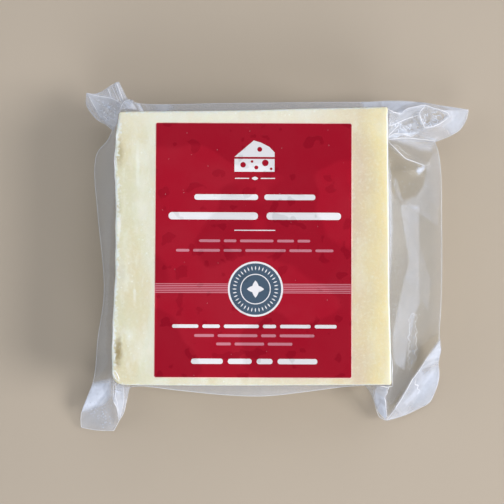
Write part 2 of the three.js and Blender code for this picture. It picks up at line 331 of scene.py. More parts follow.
print("film: shaping the pouch")
film = {
    "thickness": 0.24,           # two sheets together
    "inset": 0.10,               # from the film's face to the hollow that holds the cheese
    "hollowRings": 5,
    "wallGap": 0.3,
    "wallSteps": 9,
    "wallPleat": (0.45, 3.4, 62),            # upright pleats on the walls: depth, size, seed
    # how much the upright pleats' ridges whiten: a painted sheen that stands in for their reflections
    "wallPleatSheen": 0.3,
    "tentFlare": 1.8,
    "seamMargin": 0.3,
    "flangeSpacing": 0.7,        # between stations along the cut edge, in the flanges and in the ears
    "earSpacing": 0.42,
    "flangeSteps": 38,
    "lowest": 0.35,
    "swells": [(0.16, 30, 11), (0.025, 8, 12)],          # soft waves of the free film: height, size, seed
    "swellStart": (0, 0.5),      # these and the next few are shares of the way from the seam to the edge
    "ridges": (0.12, 5, 13),     # sharp ridges in the ears
    "ridgeStart": (0.1, 0.4),
    "pleat": (0.3, 2.6, 61),     # folds that gather at the block's corners
    "pleatStart": (0, 0.15),
    "pleatEnd": (0.35, 0.8),
    "pleated": [0.1, 0.7, 1, 0.15],          # how far each corner is gathered, from the front right
    "crushSeed": 14,
    "crushEdge": 0.8,            # softness of the edge of a crushed patch
    "crushStart": (0, 0.1),
}

# The height at which the two sheets meet on the right, back, left and front, and how fast the flange falls
seams = np.array([(11, 1.7), (12, 1.2), (12, 1.4), (12, 1.2)])

# Tents of film that stand off the block: place on the outline, reach of the ridge, its height, half width
tents = {
    "frontRight": (0, (0.6, -5.4), 10, 7.5),
    "backRight": (1, (5.4, 0.6), 14, 9),
    "backLeft": (2, (-1.3, 4.0), 16, 6),
    "frontLeft": (3, (-2.2, -3.4), 11, 7),
    "backLeftPuff": (1.955, (0, 3.4), 18, 4.5),
}

# The pouch's cut edge, counterclockwise: for each side its flange, then the ear past its far corner, with
# the index of its tip, the point that the film reaches straight from the block's corner. A point that is
# given twice is a sharp corner.
flanges = [
    [(60.4, -28.1, 2.8), (61.2, -18, 2), (61.6, -4, 2), (61.6, 12, 2), (61.5, 22, 2.5), (61, 27.8, 3.5)],
    [(37.8, 47.5, 9), (22, 47.4, 9), (5, 47.2, 9), (-12, 47, 9), (-25, 46.6, 9.5), (-33, 46.5, 10.5)],
    [(-46.5, 35.2, 8), (-49.8, 31.5, 7), (-50.8, 26, 6.5), (-49.8, 12, 6), (-47.6, -13, 6), (-49.6, -29, 6),
     (-50.3, -38.4, 6)],
    [(-35.2, -43.3, 9), (-24, -44.6, 8.5), (-8, -46.2, 8), (4, -46.5, 8), (17, -45.1, 8.5), (29, -43.5, 9)],
]
ears = [
    (7, [(60, 32.6, 4.8), (58.7, 34.9, 6.3), (58.7, 34.9, 6.3), (61, 35.7, 7), (63.9, 36.9, 7.5),
         (66.7, 38.7, 8), (68.7, 42, 9), (69.1, 44.8, 10), (69.1, 44.8, 10), (60, 46.2, 10), (54.9, 47, 10),
         (48.5, 47.6, 10), (43, 47.7, 9.5)]),
    (7, [(-35.6, 46.4, 12), (-35.6, 46.4, 12), (-38.8, 46.9, 14), (-39.3, 47.1, 14.5), (-39.3, 47.1, 14.5),
         (-40.3, 49.1, 16), (-41.3, 51.2, 17), (-42, 52.5, 17), (-42, 52.5, 17), (-44.2, 51.6, 16.5),
         (-48.4, 49.5, 14), (-50.2, 49.1, 13.4), (-52.5, 49.5, 13), (-52.5, 49.5, 13), (-53, 46.4, 10.8),
         (-51.6, 43.8, 9.2), (-49.5, 41.6, 8.6), (-47.1, 40.3, 8.6), (-44.8, 38.4, 9), (-44.8, 38.4, 9)]),
    (8, [(-51, -42.5, 6.5), (-52, -45.1, 6.2), (-53.4, -48.4, 5.6), (-54.8, -51.8, 4.2),
         (-55.4, -54.8, 2.4), (-55.3, -57.1, 1.5), (-55.3, -57.1, 1.5), (-50.9, -58, 1.2),
         (-44.8, -58.2, 1.2), (-44.8, -58.2, 1.2), (-42.9, -54.8, 2.8), (-41.4, -52.3, 4), (-40.2, -48, 6),
         (-39.2, -43.6, 8), (-39.2, -43.6, 8)]),
    (8, [(36.5, -43.1, 8.4), (38.4, -43.2, 8), (38.4, -43.2, 8), (39.1, -47.2, 5.8), (39.9, -51, 3.4),
         (41.2, -53.8, 2), (43.1, -54.8, 1.6), (43.1, -54.8, 1.6), (49, -53.3, 1.5), (54, -51, 1.5),
         (57.3, -49.1, 1.5), (59.2, -45.6, 1.5), (60.3, -42, 1.6), (60.5, -39, 1.8), (60.1, -36, 2.3),
         (60.7, -32.5, 2.8)]),
]

# Creases of the free film: rise, half width, line seen from above
creases = {
    "frontRightFold": (3.4, 5, [(43, -54), (47.8, -46.9), (50.9, -41.6), (53.4, -38.4), (57.1, -32.8),
        (59.9, -29.2)]),
    "frontRightBranch": (1.6, 2.2, [(53.4, -38.4), (57.2, -36.4), (60.4, -35.2)]),
    "frontRightGusset": (1.8, 1.8, [(42.3, -45.2), (41.9, -46.6), (42.5, -49.6), (43.1, -53.5)]),
    "backRightEyeFar": (1.6, 1.8, [(46.9, 42.7), (49.2, 44.6), (54.7, 45.9), (62.3, 43.5)]),
    "backRightEyeNear": (1.6, 1.8, [(62.7, 42.6), (58.9, 39.8), (54.9, 39), (52.9, 42.7)]),
    "backRightGather": (1.8, 2, [(43.2, 35.8), (47.9, 37), (52.5, 37.2), (58.5, 35.1)]),
    "rightFlangeCrease": (1.2, 1.8, [(42.7, 34.5), (49.1, 29.3), (55.9, 27.3)]),
    "backLeftFold": (1.8, 2.2, [(-40.9, 45.4), (-44.3, 47.3), (-48.2, 48.2), (-52.1, 49.2)]),
    "backLeftOuterPleat": (0.9, 0.8, [(-42.9, 52.2), (-40.9, 46.4)]),
    "backLeftInnerPleat": (0.8, 0.8, [(-45.5, 50.4), (-44.3, 47.7)]),
    "backLeftBend": (1.4, 2.2, [(-51.9, 48.7), (-50.1, 45.4), (-48.4, 42.3)]),
    "frontLeftFold": (1.8, 2.2, [(-44, -44.4), (-44, -47.8), (-43.1, -50.5), (-42.8, -54.6)]),
    "frontLeftBend": (1.2, 3.5, [(-50.6, -42.5), (-44.6, -40.8)]),
}
airPocket = {"centre": (50, 23), "reach": (6.5, 7.5), "rise": 1.5}

# Patches of film that are crushed: height and size of the crumples, how much its cracks whiten, outline
crushed = {
    "backRightEye": (0.4, 2.2, 0.5, [(47.5, 40.3), (52.9, 42.7), (55, 45), (62, 43), (58.9, 39.8),
        (54.9, 39), (50, 38)]),
    "backRightGather": (0.5, 1.8, 0.4, [(41.6, 42), (47.5, 40.3), (50, 38), (53, 37.2), (43, 35)]),
    "backLeftPuff": (0.7, 2.6, 0.6, [(-41, 43), (-40, 46), (-36, 46.4), (-33.5, 42.3)]),
    "backLeftFacet": (0.15, 2.4, 0.4, [(-49, 47.5), (-41.5, 45), (-41.5, 41.5), (-47.5, 41)]),
    "frontLeftCorner": (0.6, 1.6, 0.5, [(-44.5, -41), (-40.5, -42), (-41.5, -45.5), (-44.2, -44.5)]),
}


# How far each place is under a tent, from 0 to 1 at its ridge
def tentShare(place, halfWidth, places):
    away = np.abs((places - place + 1.5 * sides) % sides - sides / 2)
    return np.clip(1 - away * lengths[int(place) % sides] / halfWidth, 0, 1)


def seamHeight(places):
    base = seams[sideOf(places), 0]
    return base + sum((height - base) * tentShare(place, halfWidth, places)
                      for place, _, height, halfWidth in tents.values())


# Upright pleats in the film on the walls, at points on the block's outline, from 0 between them to 1
def wallPleats(x, y):
    s = np.where(np.abs(x) > np.abs(y), y, x + 200)
    return np.clip(crumples(s, s * 0, *film["wallPleat"][1:], 5) * 2.2 - 1.0, 0, 1)


def wallFilm(places, share):
    edge = outlineAt(places)
    pleat = film["wallPleat"][0] * wallPleats(*edge.T) * smooth(0.02, 0.1, awayFromCorner(places))
    opened = share ** 1.4 * (1 - 0.7 * smooth(0.8, 1, share))
    at = edge + outwardAt(places) * (film["wallGap"] * share + pleat * opened)[:, None]
    for place, reach, _, halfWidth in tents.values():
        at = at + np.array(reach) * tentShare(place, halfWidth, places)[:, None] * share ** film["tentFlare"]
    return at


def distanceToLine(x, y, line):
    nearest = np.full_like(x, 1e9)
    for (ax, ay), (bx, by) in zip(line, line[1:]):
        dx, dy = bx - ax, by - ay
        t = np.clip(((x - ax) * dx + (y - ay) * dy) / (dx * dx + dy * dy), 0, 1)
        nearest = np.minimum(nearest, np.hypot(x - ax - t * dx, y - ay - t * dy))
    return nearest


# A soft-edged patch of film inside an outline, 1 inside and 0 outside
def patchShare(x, y, outline, softness):
    loop = outline + outline[:1]
    inside = np.zeros(x.shape, bool)
    for (ax, ay), (bx, by) in zip(loop, loop[1:]):
        if ay != by:
            inside ^= ((ay > y) != (by > y)) & (x < (bx - ax) * (y - ay) / (by - ay) + ax)
    return smooth(-softness, softness, np.where(inside, 1, -1) * distanceToLine(x, y, loop))


def lift(x, y):
    height = np.zeros_like(x)
    for rise, halfWidth, line in creases.values():
        height = np.maximum(height, rise * (1 - distanceToLine(x, y, line) / halfWidth))
    (cx, cy), (rx, ry) = airPocket["centre"], airPocket["reach"]
    return height + airPocket["rise"] * np.clip(1 - ((x - cx) / rx) ** 2 - ((y - cy) / ry) ** 2, 0, None)


def placeBeside(side, point):
    return side + float(np.dot(np.array(point[:2]) - corners[side], along[side])) / lengths[side]


# The cut edge's points, each with the place on the block that its film comes from and whether it is in an
# ear. An ear shares out the block's outline by its length, on each side of its tip.
def cutEdge():
    edge = []
    for side, (flange, (tip, ear)) in enumerate(zip(flanges, ears)):
        corner = side + 1
        following = flanges[corner % sides][0]
        run = np.array([flange[-1], *ear, following])
        steps = np.cumsum(np.linalg.norm(np.diff(run, axis=0), axis=1))
        reaches = [0, steps[tip], steps[-1]]
        ends = [placeBeside(side, flange[-1]), corner, corner + placeBeside(corner % sides, following) % 1]
        edge += [(point, placeBeside(side, point), False) for point in flange[:-1]]
        edge.append((flange[-1], ends[0], True))
        edge += [(point, float(np.interp(step, reaches, ends)), True) for point, step in zip(ear, steps)]
    return edge


# A smooth closed curve through the cut edge's points, with its stations closer together in the ears
def rimStations(edge):
    count = len(edge)
    points = [np.array(point, float) for point, _, _ in edge]
    rim, placed = [], []
    for span, (_, place, inEar) in enumerate(edge):
        p0, p1, p2, p3 = (points[(span + k) % count] for k in (-1, 0, 1, 2))
        d0, d1, d2 = (np.linalg.norm(b - a) ** 0.5 for a, b in ((p0, p1), (p1, p2), (p2, p3)))
        if d1 == 0:
            continue
        d0, d2 = d0 or d1, d2 or d1
        m1 = ((p1 - p0) / d0 - (p2 - p0) / (d0 + d1) + (p2 - p1) / d1) * d1
        m2 = ((p2 - p1) / d1 - (p3 - p1) / (d1 + d2) + (p3 - p2) / d2) * d1
        toPlace = edge[span + 1][1] if span + 1 < count else edge[0][1] + sides
        steps = max(3, round(d1 ** 2 / film["earSpacing" if inEar else "flangeSpacing"]))
        for t in np.arange(steps) / steps:
            rim.append((2 * t ** 3 - 3 * t ** 2 + 1) * p1 + (t ** 3 - 2 * t ** 2 + t) * m1
                       + (3 * t ** 2 - 2 * t ** 3) * p2 + (t ** 3 - t ** 2) * m2)
            placed.append((place + (toPlace - place) * t) % sides)
    return np.array(rim), np.array(placed)


# The film's outside: over the block, down the wall to the seam, out across the free film and back under it
def pouchRings(places, rim):
    height, radius, half = block["height"], block["edgeRadius"], film["thickness"] / 2
    hugging = blockRings(places, 0, [])
    middle = len(block["middleRings"]) + block["marginRings"] - 1 + block["edgeRings"]
    meets, fall = seamHeight(places), seams[sideOf(places), 1]
    wall = [(share, wallFilm(places, share)) for share in np.linspace(0, 1, film["wallSteps"] + 1)[1:-1]]
    upper = [raised(xy, height - radius + (meets + half - height + radius) * share) for share, xy in wall]
    lower = [raised(xy, radius + (meets - half - radius) * share) for share, xy in reversed(wall)]
    begin = wallFilm(places, 1)
    ear = 1 - smooth(0.05, 0.17, awayFromCorner(places))
    pleated = ear * np.array(film["pleated"])[np.round(places).astype(int) % sides]
    around = np.cumsum(np.linalg.norm(rim - np.roll(rim, 1, axis=0), axis=1))
    ridgeHeight, ridgeSize, ridgeSeed = film["ridges"]
    pleatHeight, pleatSize, pleatSeed = film["pleat"]
    pleats = pleated * pleatHeight * (crumples(around, around * 0, pleatSize, pleatSeed, 3) - 0.5)
    over, under = [], []
    for share in np.linspace(0, 1, film["flangeSteps"]):
        xy = begin + (rim[:, :2] - begin) * share
        x, y = xy.T
        swell = sum(rise * ripples(x, y, size, seed) for rise, size, seed in film["swells"])
        z = meets + (rim[:, 2] - meets) * (1 - (1 - share) ** fall)
        z += lift(x, y) * smooth(0, film["seamMargin"], share) + swell * smooth(*film["swellStart"], share)
        ridges = pleated * ridgeHeight * (crumples(x, y, ridgeSize, ridgeSeed) - 0.5)
        z += ridges * smooth(*film["ridgeStart"], share)
        z += pleats * smooth(*film["pleatStart"], share) * (1 - smooth(*film["pleatEnd"], share))
        for rise, size, _, outline in crushed.values():
            crumple = rise * (crumples(x, y, size, film["crushSeed"]) - 0.6)
            z += crumple * patchShare(x, y, outline, film["crushEdge"]) * smooth(*film["crushStart"], share)
        z = np.maximum(z, film["lowest"])
        over.append(raised(xy, z + half))
        under.append(raised(xy, z - half))
    columns = upper + over + under[::-1] + lower
    return np.concatenate([hugging[:, :middle], np.stack(columns, axis=1), hugging[:, middle:]], axis=1)


rim, places = rimStations(cutEdge())
outerVerts, outerFaces = skin(pouchRings(places, rim), (0, 0, block["height"] + middleDip), (0, 0, 0))
hollowVerts, hollowFaces = blockSkin(places, film["inset"], film["hollowRings"])
filmVerts = np.concatenate([outerVerts, hollowVerts])
filmFaces = outerFaces + [tuple(len(outerVerts) + v for v in reversed(face)) for face in hollowFaces]

filmLook = {
    "tint": (254, 255, 255),
    "milkAndSheen": (213, 219, 234),
    "patchiness": ((5, 4, 0.6), (0.3, 0.7, 0.85, 1.15)),         # the milk's noise, its start and full
    "facingGloss": 0.03,
    "grazingGloss": 0.6,
    "grazingPower": 4.0,
    "roughness": 0.1,
    "crinkle": (1.6, 0.12, 0.4),             # fine bumps: size, strength, height
    "emboss": 0.3,               # a fine lozenge grid in the sealed film
    "embossPitch": 0.85,
    "crackSize": 1.7,            # facets of crushed film
    "crackWidth": 0.07,
    "crackDrift": (5 / 3, 1.6),  # size and reach of the waves that bend the facets
    "crackWhite": ((2.4, 2), (0.42, 0.58, 0.1, 1.6)),            # the stretches where the cracks whiten
    "facetShade": 0.5,
}


# Crushed film breaks up into small facets, each with a painted shade of its own that stands in for its tilt,
# with white cracks along parts of their edges
def crackedFilm(tree, place):
    driftSize, drift = filmLook["crackDrift"]
    drifting = {0: noise(place, driftSize, 2, output="Color"), 1: (drift,) * 3, 2: place}
    warped = node(tree, "VectorMath", drifting, operation="MULTIPLY_ADD").outputs[0]
    cells = {"Vector": warped, "Scale": 1 / filmLook["crackSize"]}
    gap = node(tree, "TexVoronoi", cells, feature="DISTANCE_TO_EDGE").outputs["Distance"]
    tone = node(tree, "TexVoronoi", cells, feature="F1").outputs["Color"]
    shade = maths("SUBTRACT", node(tree, "SeparateColor", {0: tone}).outputs[0], 0.5)
    cracks = times(ramp(gap, filmLook["crackWidth"], 0), lumps(place, *filmLook["crackWhite"]))
    return times(stored(tree, "crush"), plus(cracks, times(shade, filmLook["facetShade"])))


def clearFilm(tree, milkColour):
    place = placeInMm(tree)
    x, y = node(tree, "SeparateXYZ", {0: place}).outputs[:2]
    turn = 2 * math.pi / filmLook["embossPitch"]
    rising, falling = (maths("SINE", times(maths(way, x, y), turn)) for way in ("ADD", "SUBTRACT"))
    lozenges = times(times(rising, falling), times(stored(tree, "seal"), filmLook["emboss"]))
    # the stored share holds the film's haze together with its painted sheen, glints and shade
    patchy = times(stored(tree, "milkAndSheen"), lumps(place, *filmLook["patchiness"]))
    patchy = plus(times(patchy, plus(lozenges, 1.0)), crackedFilm(tree, place), clamp=True)
    size, strength, height = filmLook["crinkle"]
    crinkle = bump(noise(place, size, 4, 0.6), strength, height)
    clear = node(tree, "BsdfTransparent", {"Color": paint(filmLook["tint"])}).outputs[0]
    cloudy = node(tree, "BsdfDiffuse", {"Color": paint(milkColour), "Normal": crinkle}).outputs[0]
    shine = node(tree, "BsdfGlossy", {"Color": (1, 1, 1, 1), "Roughness": filmLook["roughness"],
                                      "Normal": crinkle}).outputs[0]
    body = node(tree, "MixShader", {0: patchy, 1: clear, 2: cloudy}).outputs[0]
    facing = node(tree, "LayerWeight", {"Blend": 0.5}).outputs["Facing"]
    grazing = times(maths("POWER", facing, filmLook["grazingPower"]), filmLook["grazingGloss"])
    mirror = plus(grazing, filmLook["facingGloss"], clamp=True)
    return node(tree, "MixShader", {0: mirror, 1: body, 2: shine}).outputs[0]


# Where the free film is cloudier or clearer, and where a patch paints the sheen or reflection of a tilted
# facet, or its shade: softness of the patch's edge, amount, outline seen from above
hazeAndSheenPatches = {
    "backRight": {
        "ear": (0.6, 0.27, [(41.4, 47.8), (54.9, 47.2), (69.3, 45), (66.9, 38.4), (58.7, 34.9), (43, 35),
            (41.4, 41)]),
        "tip": (1.8, 0.16, [(61, 46.5), (69.3, 45), (68.7, 41), (65, 37.5), (62.5, 40), (63.2, 43)]),
        "eye": (0.5, -0.12, [(52.9, 42.7), (54.9, 45.4), (62.3, 43), (58.9, 39.8), (54.9, 39)]),
        "underEye": (0.5, -0.06, [(47.5, 40.3), (52.9, 42.7), (54.9, 39), (50, 38)]),
        "lowerLobe": (0.8, -0.12, [(50.8, 36.6), (58.9, 39.4), (63, 38.5), (63.9, 36.9), (58.7, 35)]),
        "gather": (0.4, 0.35, [(43.2, 35.6), (48.4, 38.8), (49.6, 37.1), (52.5, 37.4), (50.8, 36.2),
            (47.9, 36.6)]),
        "seal": (1.0, 0.22, [(45, 35.2), (58.7, 34.9), (57.8, 32.2), (54.5, 32.6), (50, 34)]),
        "behind": (0.9, 0.3, [(35, 48.2), (57, 47.4), (54.5, 46.1), (49, 44.9), (46.5, 43), (42.3, 43),
            (36, 42.8)]),
    },
    "right": {
        "pocket": (0.3, -0.05, [(43.3, 34.6), (49.1, 29.3), (55.9, 27.3), (56.2, 25.6), (55.4, 21.3),
            (52.8, 17.8), (48.8, 16.2), (44.6, 18.4), (42.6, 24)]),
        "sealBand": (0.25, 0.13, [(47.7, 13.8), (49.9, 0.1), (50.5, -3.7), (47.9, -12.8), (44.8, -26.6),
            (44.6, -30.5), (45.3, -36), (48.8, -38.5), (49.3, -33), (52.6, -20), (54, -17), (54, 14.2),
            (53.6, 14.7), (48.4, 14.8)]),
        "seam": (0.7, 0.28, [(41.6, 34), (44.2, 24), (44.6, 6), (43.4, -14), (41.6, -16)]),
        "besidePocket": (0.45, 0.07, [(56.3, 27.6), (56.6, 25.4), (55.8, 21), (53, 17.2), (48.8, 15.4),
            (54.4, 12), (60.4, 8), (61.4, 30), (59, 32)]),
        "sealBandOuter": (0.4, 0.05, [(54.1, 2), (57.9, -10.3), (56.8, -19.6), (54.1, -15)]),
        "bubbleStreak": (0.25, 0.05, [(51, -20.6), (53, -20.4), (52.3, -23.4), (52.9, -27), (52.4, -31),
            (52.2, -35.6), (50.2, -38.4), (50.5, -31), (50.3, -26)]),
        "pocketBubble": (0.3, 0.1, [(44.9, 22.5), (45.9, 23.2), (46.6, 21.5), (47.4, 18.5), (48.4, 15.8),
            (47.2, 16.4), (45.6, 18.6)]),
        # pocketGlint is a painted highlight: the window's reflection on the air pocket, put in as cloudiness
        "pocketGlint": (0.35, 0.6, [(52.8, 25.2), (53.4, 26.3), (55.2, 27.1), (55.8, 26.9), (55.4, 26),
            (54, 24.9)]),
    },
    "frontRight": {
        # facet and glow are painted reflection: the sky seen in the outer facet of the fold, put in as
        # cloudiness
        "facet": (0.35, 0.3, [(43.1, -54.6), (47.8, -46.9), (50.9, -41.6), (53.4, -38.4), (59.9, -29.2),
            (61, -32), (60.4, -36), (60.8, -42), (57.7, -49.2), (49, -53.8)]),
        "glow": (3, 0.24, [(52, -48), (55.5, -40), (60.4, -36.4), (60.6, -42), (58, -47.5)]),
        "branch": (0.7, -0.14, [(54.4, -38.3), (60.4, -35.6), (60.4, -38), (55, -40)]),
        "branchTop": (0.9, 0.22, [(56, -35.2), (59.9, -29.6), (60.9, -32), (60.3, -34.6)]),
        # shadow is painted shade: less cloudiness, so the band inside the fold reads darker
        "shadow": (0.6, -0.06, [(43.1, -54), (43.8, -49.7), (48.4, -44.1), (51, -41.3), (51.6, -37.2),
            (54.1, -30.8), (60.3, -26), (59.6, -29.2), (53.4, -38.2), (50.6, -41.6)]),
        "gusset": (0.3, 0.6, [(38.4, -42.9), (39.4, -49), (40.3, -51.4), (42.8, -54.2), (42.5, -49.6),
            (41.9, -46.6), (43.4, -42.4)]),
        "gussetFace": (0.3, 0.6, [(41, -48.9), (40.3, -51.4), (42.4, -53.9), (42.9, -53), (42.4, -49.8)]),
        "squiggleGlow": (0.6, 0.16, [(52.6, -44.4), (54.2, -45.6), (49.6, -49.6), (48.6, -48.8)]),
    },
    "frontLeft": {
        # glow and glowCore are painted reflection: the sky seen in the bend of the ear, put in as cloudiness
        "glow": (1.1, 0.5, [(-50.8, -42.9), (-45, -41.6), (-44.8, -46), (-48, -49.4), (-55, -51.6),
            (-52.2, -46)]),
        "glowCore": (1.4, 0.5, [(-51.2, -43.6), (-47.4, -42.8), (-47.2, -46), (-49.8, -49),
            (-54.4, -50.4)]),
        "foot": (1.4, 0.14, [(-54.5, -50.6), (-44, -46), (-42.8, -54.6), (-44.8, -58.4), (-55.5, -57.3)]),
        "strip": (0.3, 0.4, [(-42.8, -41.6), (-40.5, -42.7), (-41.1, -48.6), (-42.5, -53.8), (-43, -51),
            (-43.9, -47)]),
        "edge": (0.3, 0.2, [(-40.5, -42.7), (-39, -43.2), (-40, -48), (-41.4, -52.3), (-42.5, -53.8),
            (-41.1, -48.6)]),
    },
    "backLeft": {
        "ear": (0.6, 0.2, [(-53, 49.6), (-48.2, 49.6), (-41.9, 52.8), (-39, 47), (-40.9, 42), (-44.6, 38),
            (-53.2, 43)]),
        "facet": (0.4, 0.16, [(-51.9, 48.9), (-44.3, 47.4), (-40.9, 45.4), (-41, 42), (-44.3, 38.4),
            (-48.4, 42.3), (-50.1, 45.4)]),
        "pleats": (0.5, 0.02, [(-43.4, 52.4), (-41.4, 52.6), (-39.4, 47), (-41.4, 46.6)]),
        # puff, puffFaceA and puffFaceB are partly cloudiness and partly painted reflection of the light in
        # the puff's facets
        "puff": (0.4, 0.34, [(-41.2, 42.2), (-40.1, 46.2), (-38.4, 47), (-36, 46.6), (-33.5, 42)]),
        "puffFaceA": (0.3, 0.6, [(-39.9, 45.9), (-38.4, 46.6), (-35.9, 43.4), (-36.2, 42.2), (-38, 42.2)]),
        "puffFaceB": (0.3, 0.6, [(-36.6, 45.7), (-35.8, 46.2), (-33.6, 42.4), (-34.7, 42.2)]),
        "strip": (1.5, 0.16, [(-34, 48), (-34, 41), (-24, 41), (-27, 48)]),
    },
    "back": {
        "strip": (0.8, 0.09, [(-31, 48), (40, 48.4), (40, 42), (-31, 42)]),
    },
    "front": {
        "strip": (0.8, 0.07, [(-36, -41), (36, -41), (36, -47.5), (-36, -47.5)]),
    },
}

haze = {                         # the free film's own cloudiness, and the painted highlight along its edge and creases
    "right": 0.06,
    "elsewhere": 0.08,
    "rightFrom": (40, 44),
    "rim": 0.05,                 # what its cut edge and its creases add, as painted highlight, over this reach
    "crease": 0.12,
    "haloReach": 0.7,
    "hugging": 0.003,            # of the film on the block
    "freeFrom": (0.2, 1.2),      # how far off the block's wall the free film begins
    "wall": (41.6, 41.8),
    "pleatReach": 6,
    "sealEdge": 0.8,             # softness of the edges of sealed and of crushed film
    "crushEdge": 0.6,
}

# Where the film is sealed, with a fine emboss
sealed = {
    "right": [(56.2, 36), (57.2, 26), (55.8, 19), (49, 14.5), (49, -20), (54, -31), (62, -34), (62.6, 30),
        (60.5, 34)],
    "backRight": [(50.5, 36.2), (59, 35.2), (58, 31.5), (53.5, 32.5)],
    "frontLeft": [(-55, -52), (-43, -50), (-44, -58.4), (-55.6, -57.4)],
}


def halo(distance):
    return np.clip(1 - distance / haze["haloReach"], 0, 1)


# How cloudy the free film is at each point, and how much painted sheen, glint and shade it carries: the
# patches, and the painted highlight along its cut edge and creases
def cloudinessAndSheen(verts):
    x, y, z = verts.T
    away = np.maximum(np.abs(x) - haze["wall"][0], np.abs(y) - haze["wall"][1])
    free = smooth(*haze["freeFrom"], away)
    cloud = haze["elsewhere"] + (haze["right"] - haze["elsewhere"]) * smooth(*haze["rightFrom"], x)
    rimDistance = [np.hypot(x[part, None] - rim[:, 0], y[part, None] - rim[:, 1]).min(axis=1)
                   for part in np.array_split(np.arange(len(verts)), 40)]        # in parts, to save memory
    cloud = cloud + haze["rim"] * halo(np.concatenate(rimDistance))
    for _, _, line in creases.values():
        cloud = cloud + haze["crease"] * halo(distanceToLine(x, y, line))
    for group in hazeAndSheenPatches.values():
        for softness, amount, outline in group.values():
            cloud = cloud + amount * patchShare(x, y, outline, softness)
    onWall = smooth(-0.6, 0.1, away) * (1 - smooth(0.6, 1.2, away))
    onWall = onWall * np.exp(-np.abs(z - seams[1, 0]) / haze["pleatReach"])
    return np.clip(free * cloud + film["wallPleatSheen"] * wallPleats(x, y) * onWall + haze["hugging"], 0, 1)


pouchFilm = newMaterial("clearPouchFilm", clearFilm, filmLook["milkAndSheen"])
pouch = newObject("vacuum_pouch", filmVerts, filmFaces, [pouchFilm])
above = filmVerts[:, 0], filmVerts[:, 1]
setShare(pouch, "milkAndSheen", cloudinessAndSheen(filmVerts))
setShare(pouch, "seal", sum(patchShare(*above, outline, haze["sealEdge"]) for outline in sealed.values()))
setShare(pouch, "crush", sum(cracks * patchShare(*above, outline, haze["crushEdge"])
                             for _, _, cracks, outline in crushed.values()))
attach(pouch, "root")
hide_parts("sealed_pouch")

print("film: pinching the folds")
# The folds and the cut edge are drawn whiter than clear film: partly the whitening of pinched film, partly
# painted highlight along the ridges
folds = {
    "spacing": 0.4,
    "sides": 6,
    "milkAndSheen": 0.8,
    "colour": (236, 236, 242),
    "rimRadius": 0.085,
    "rimWhiteAndSheen": (0.95, 0.5),      # of the cut edge: at the front ears, and elsewhere
    "rimMilkFrom": (-44, -38),
    "wobble": 0.05,              # how far the folds stray to each side
    "wobbleSize": 1.7,
    "wobbleSeeds": (31, 32),
}

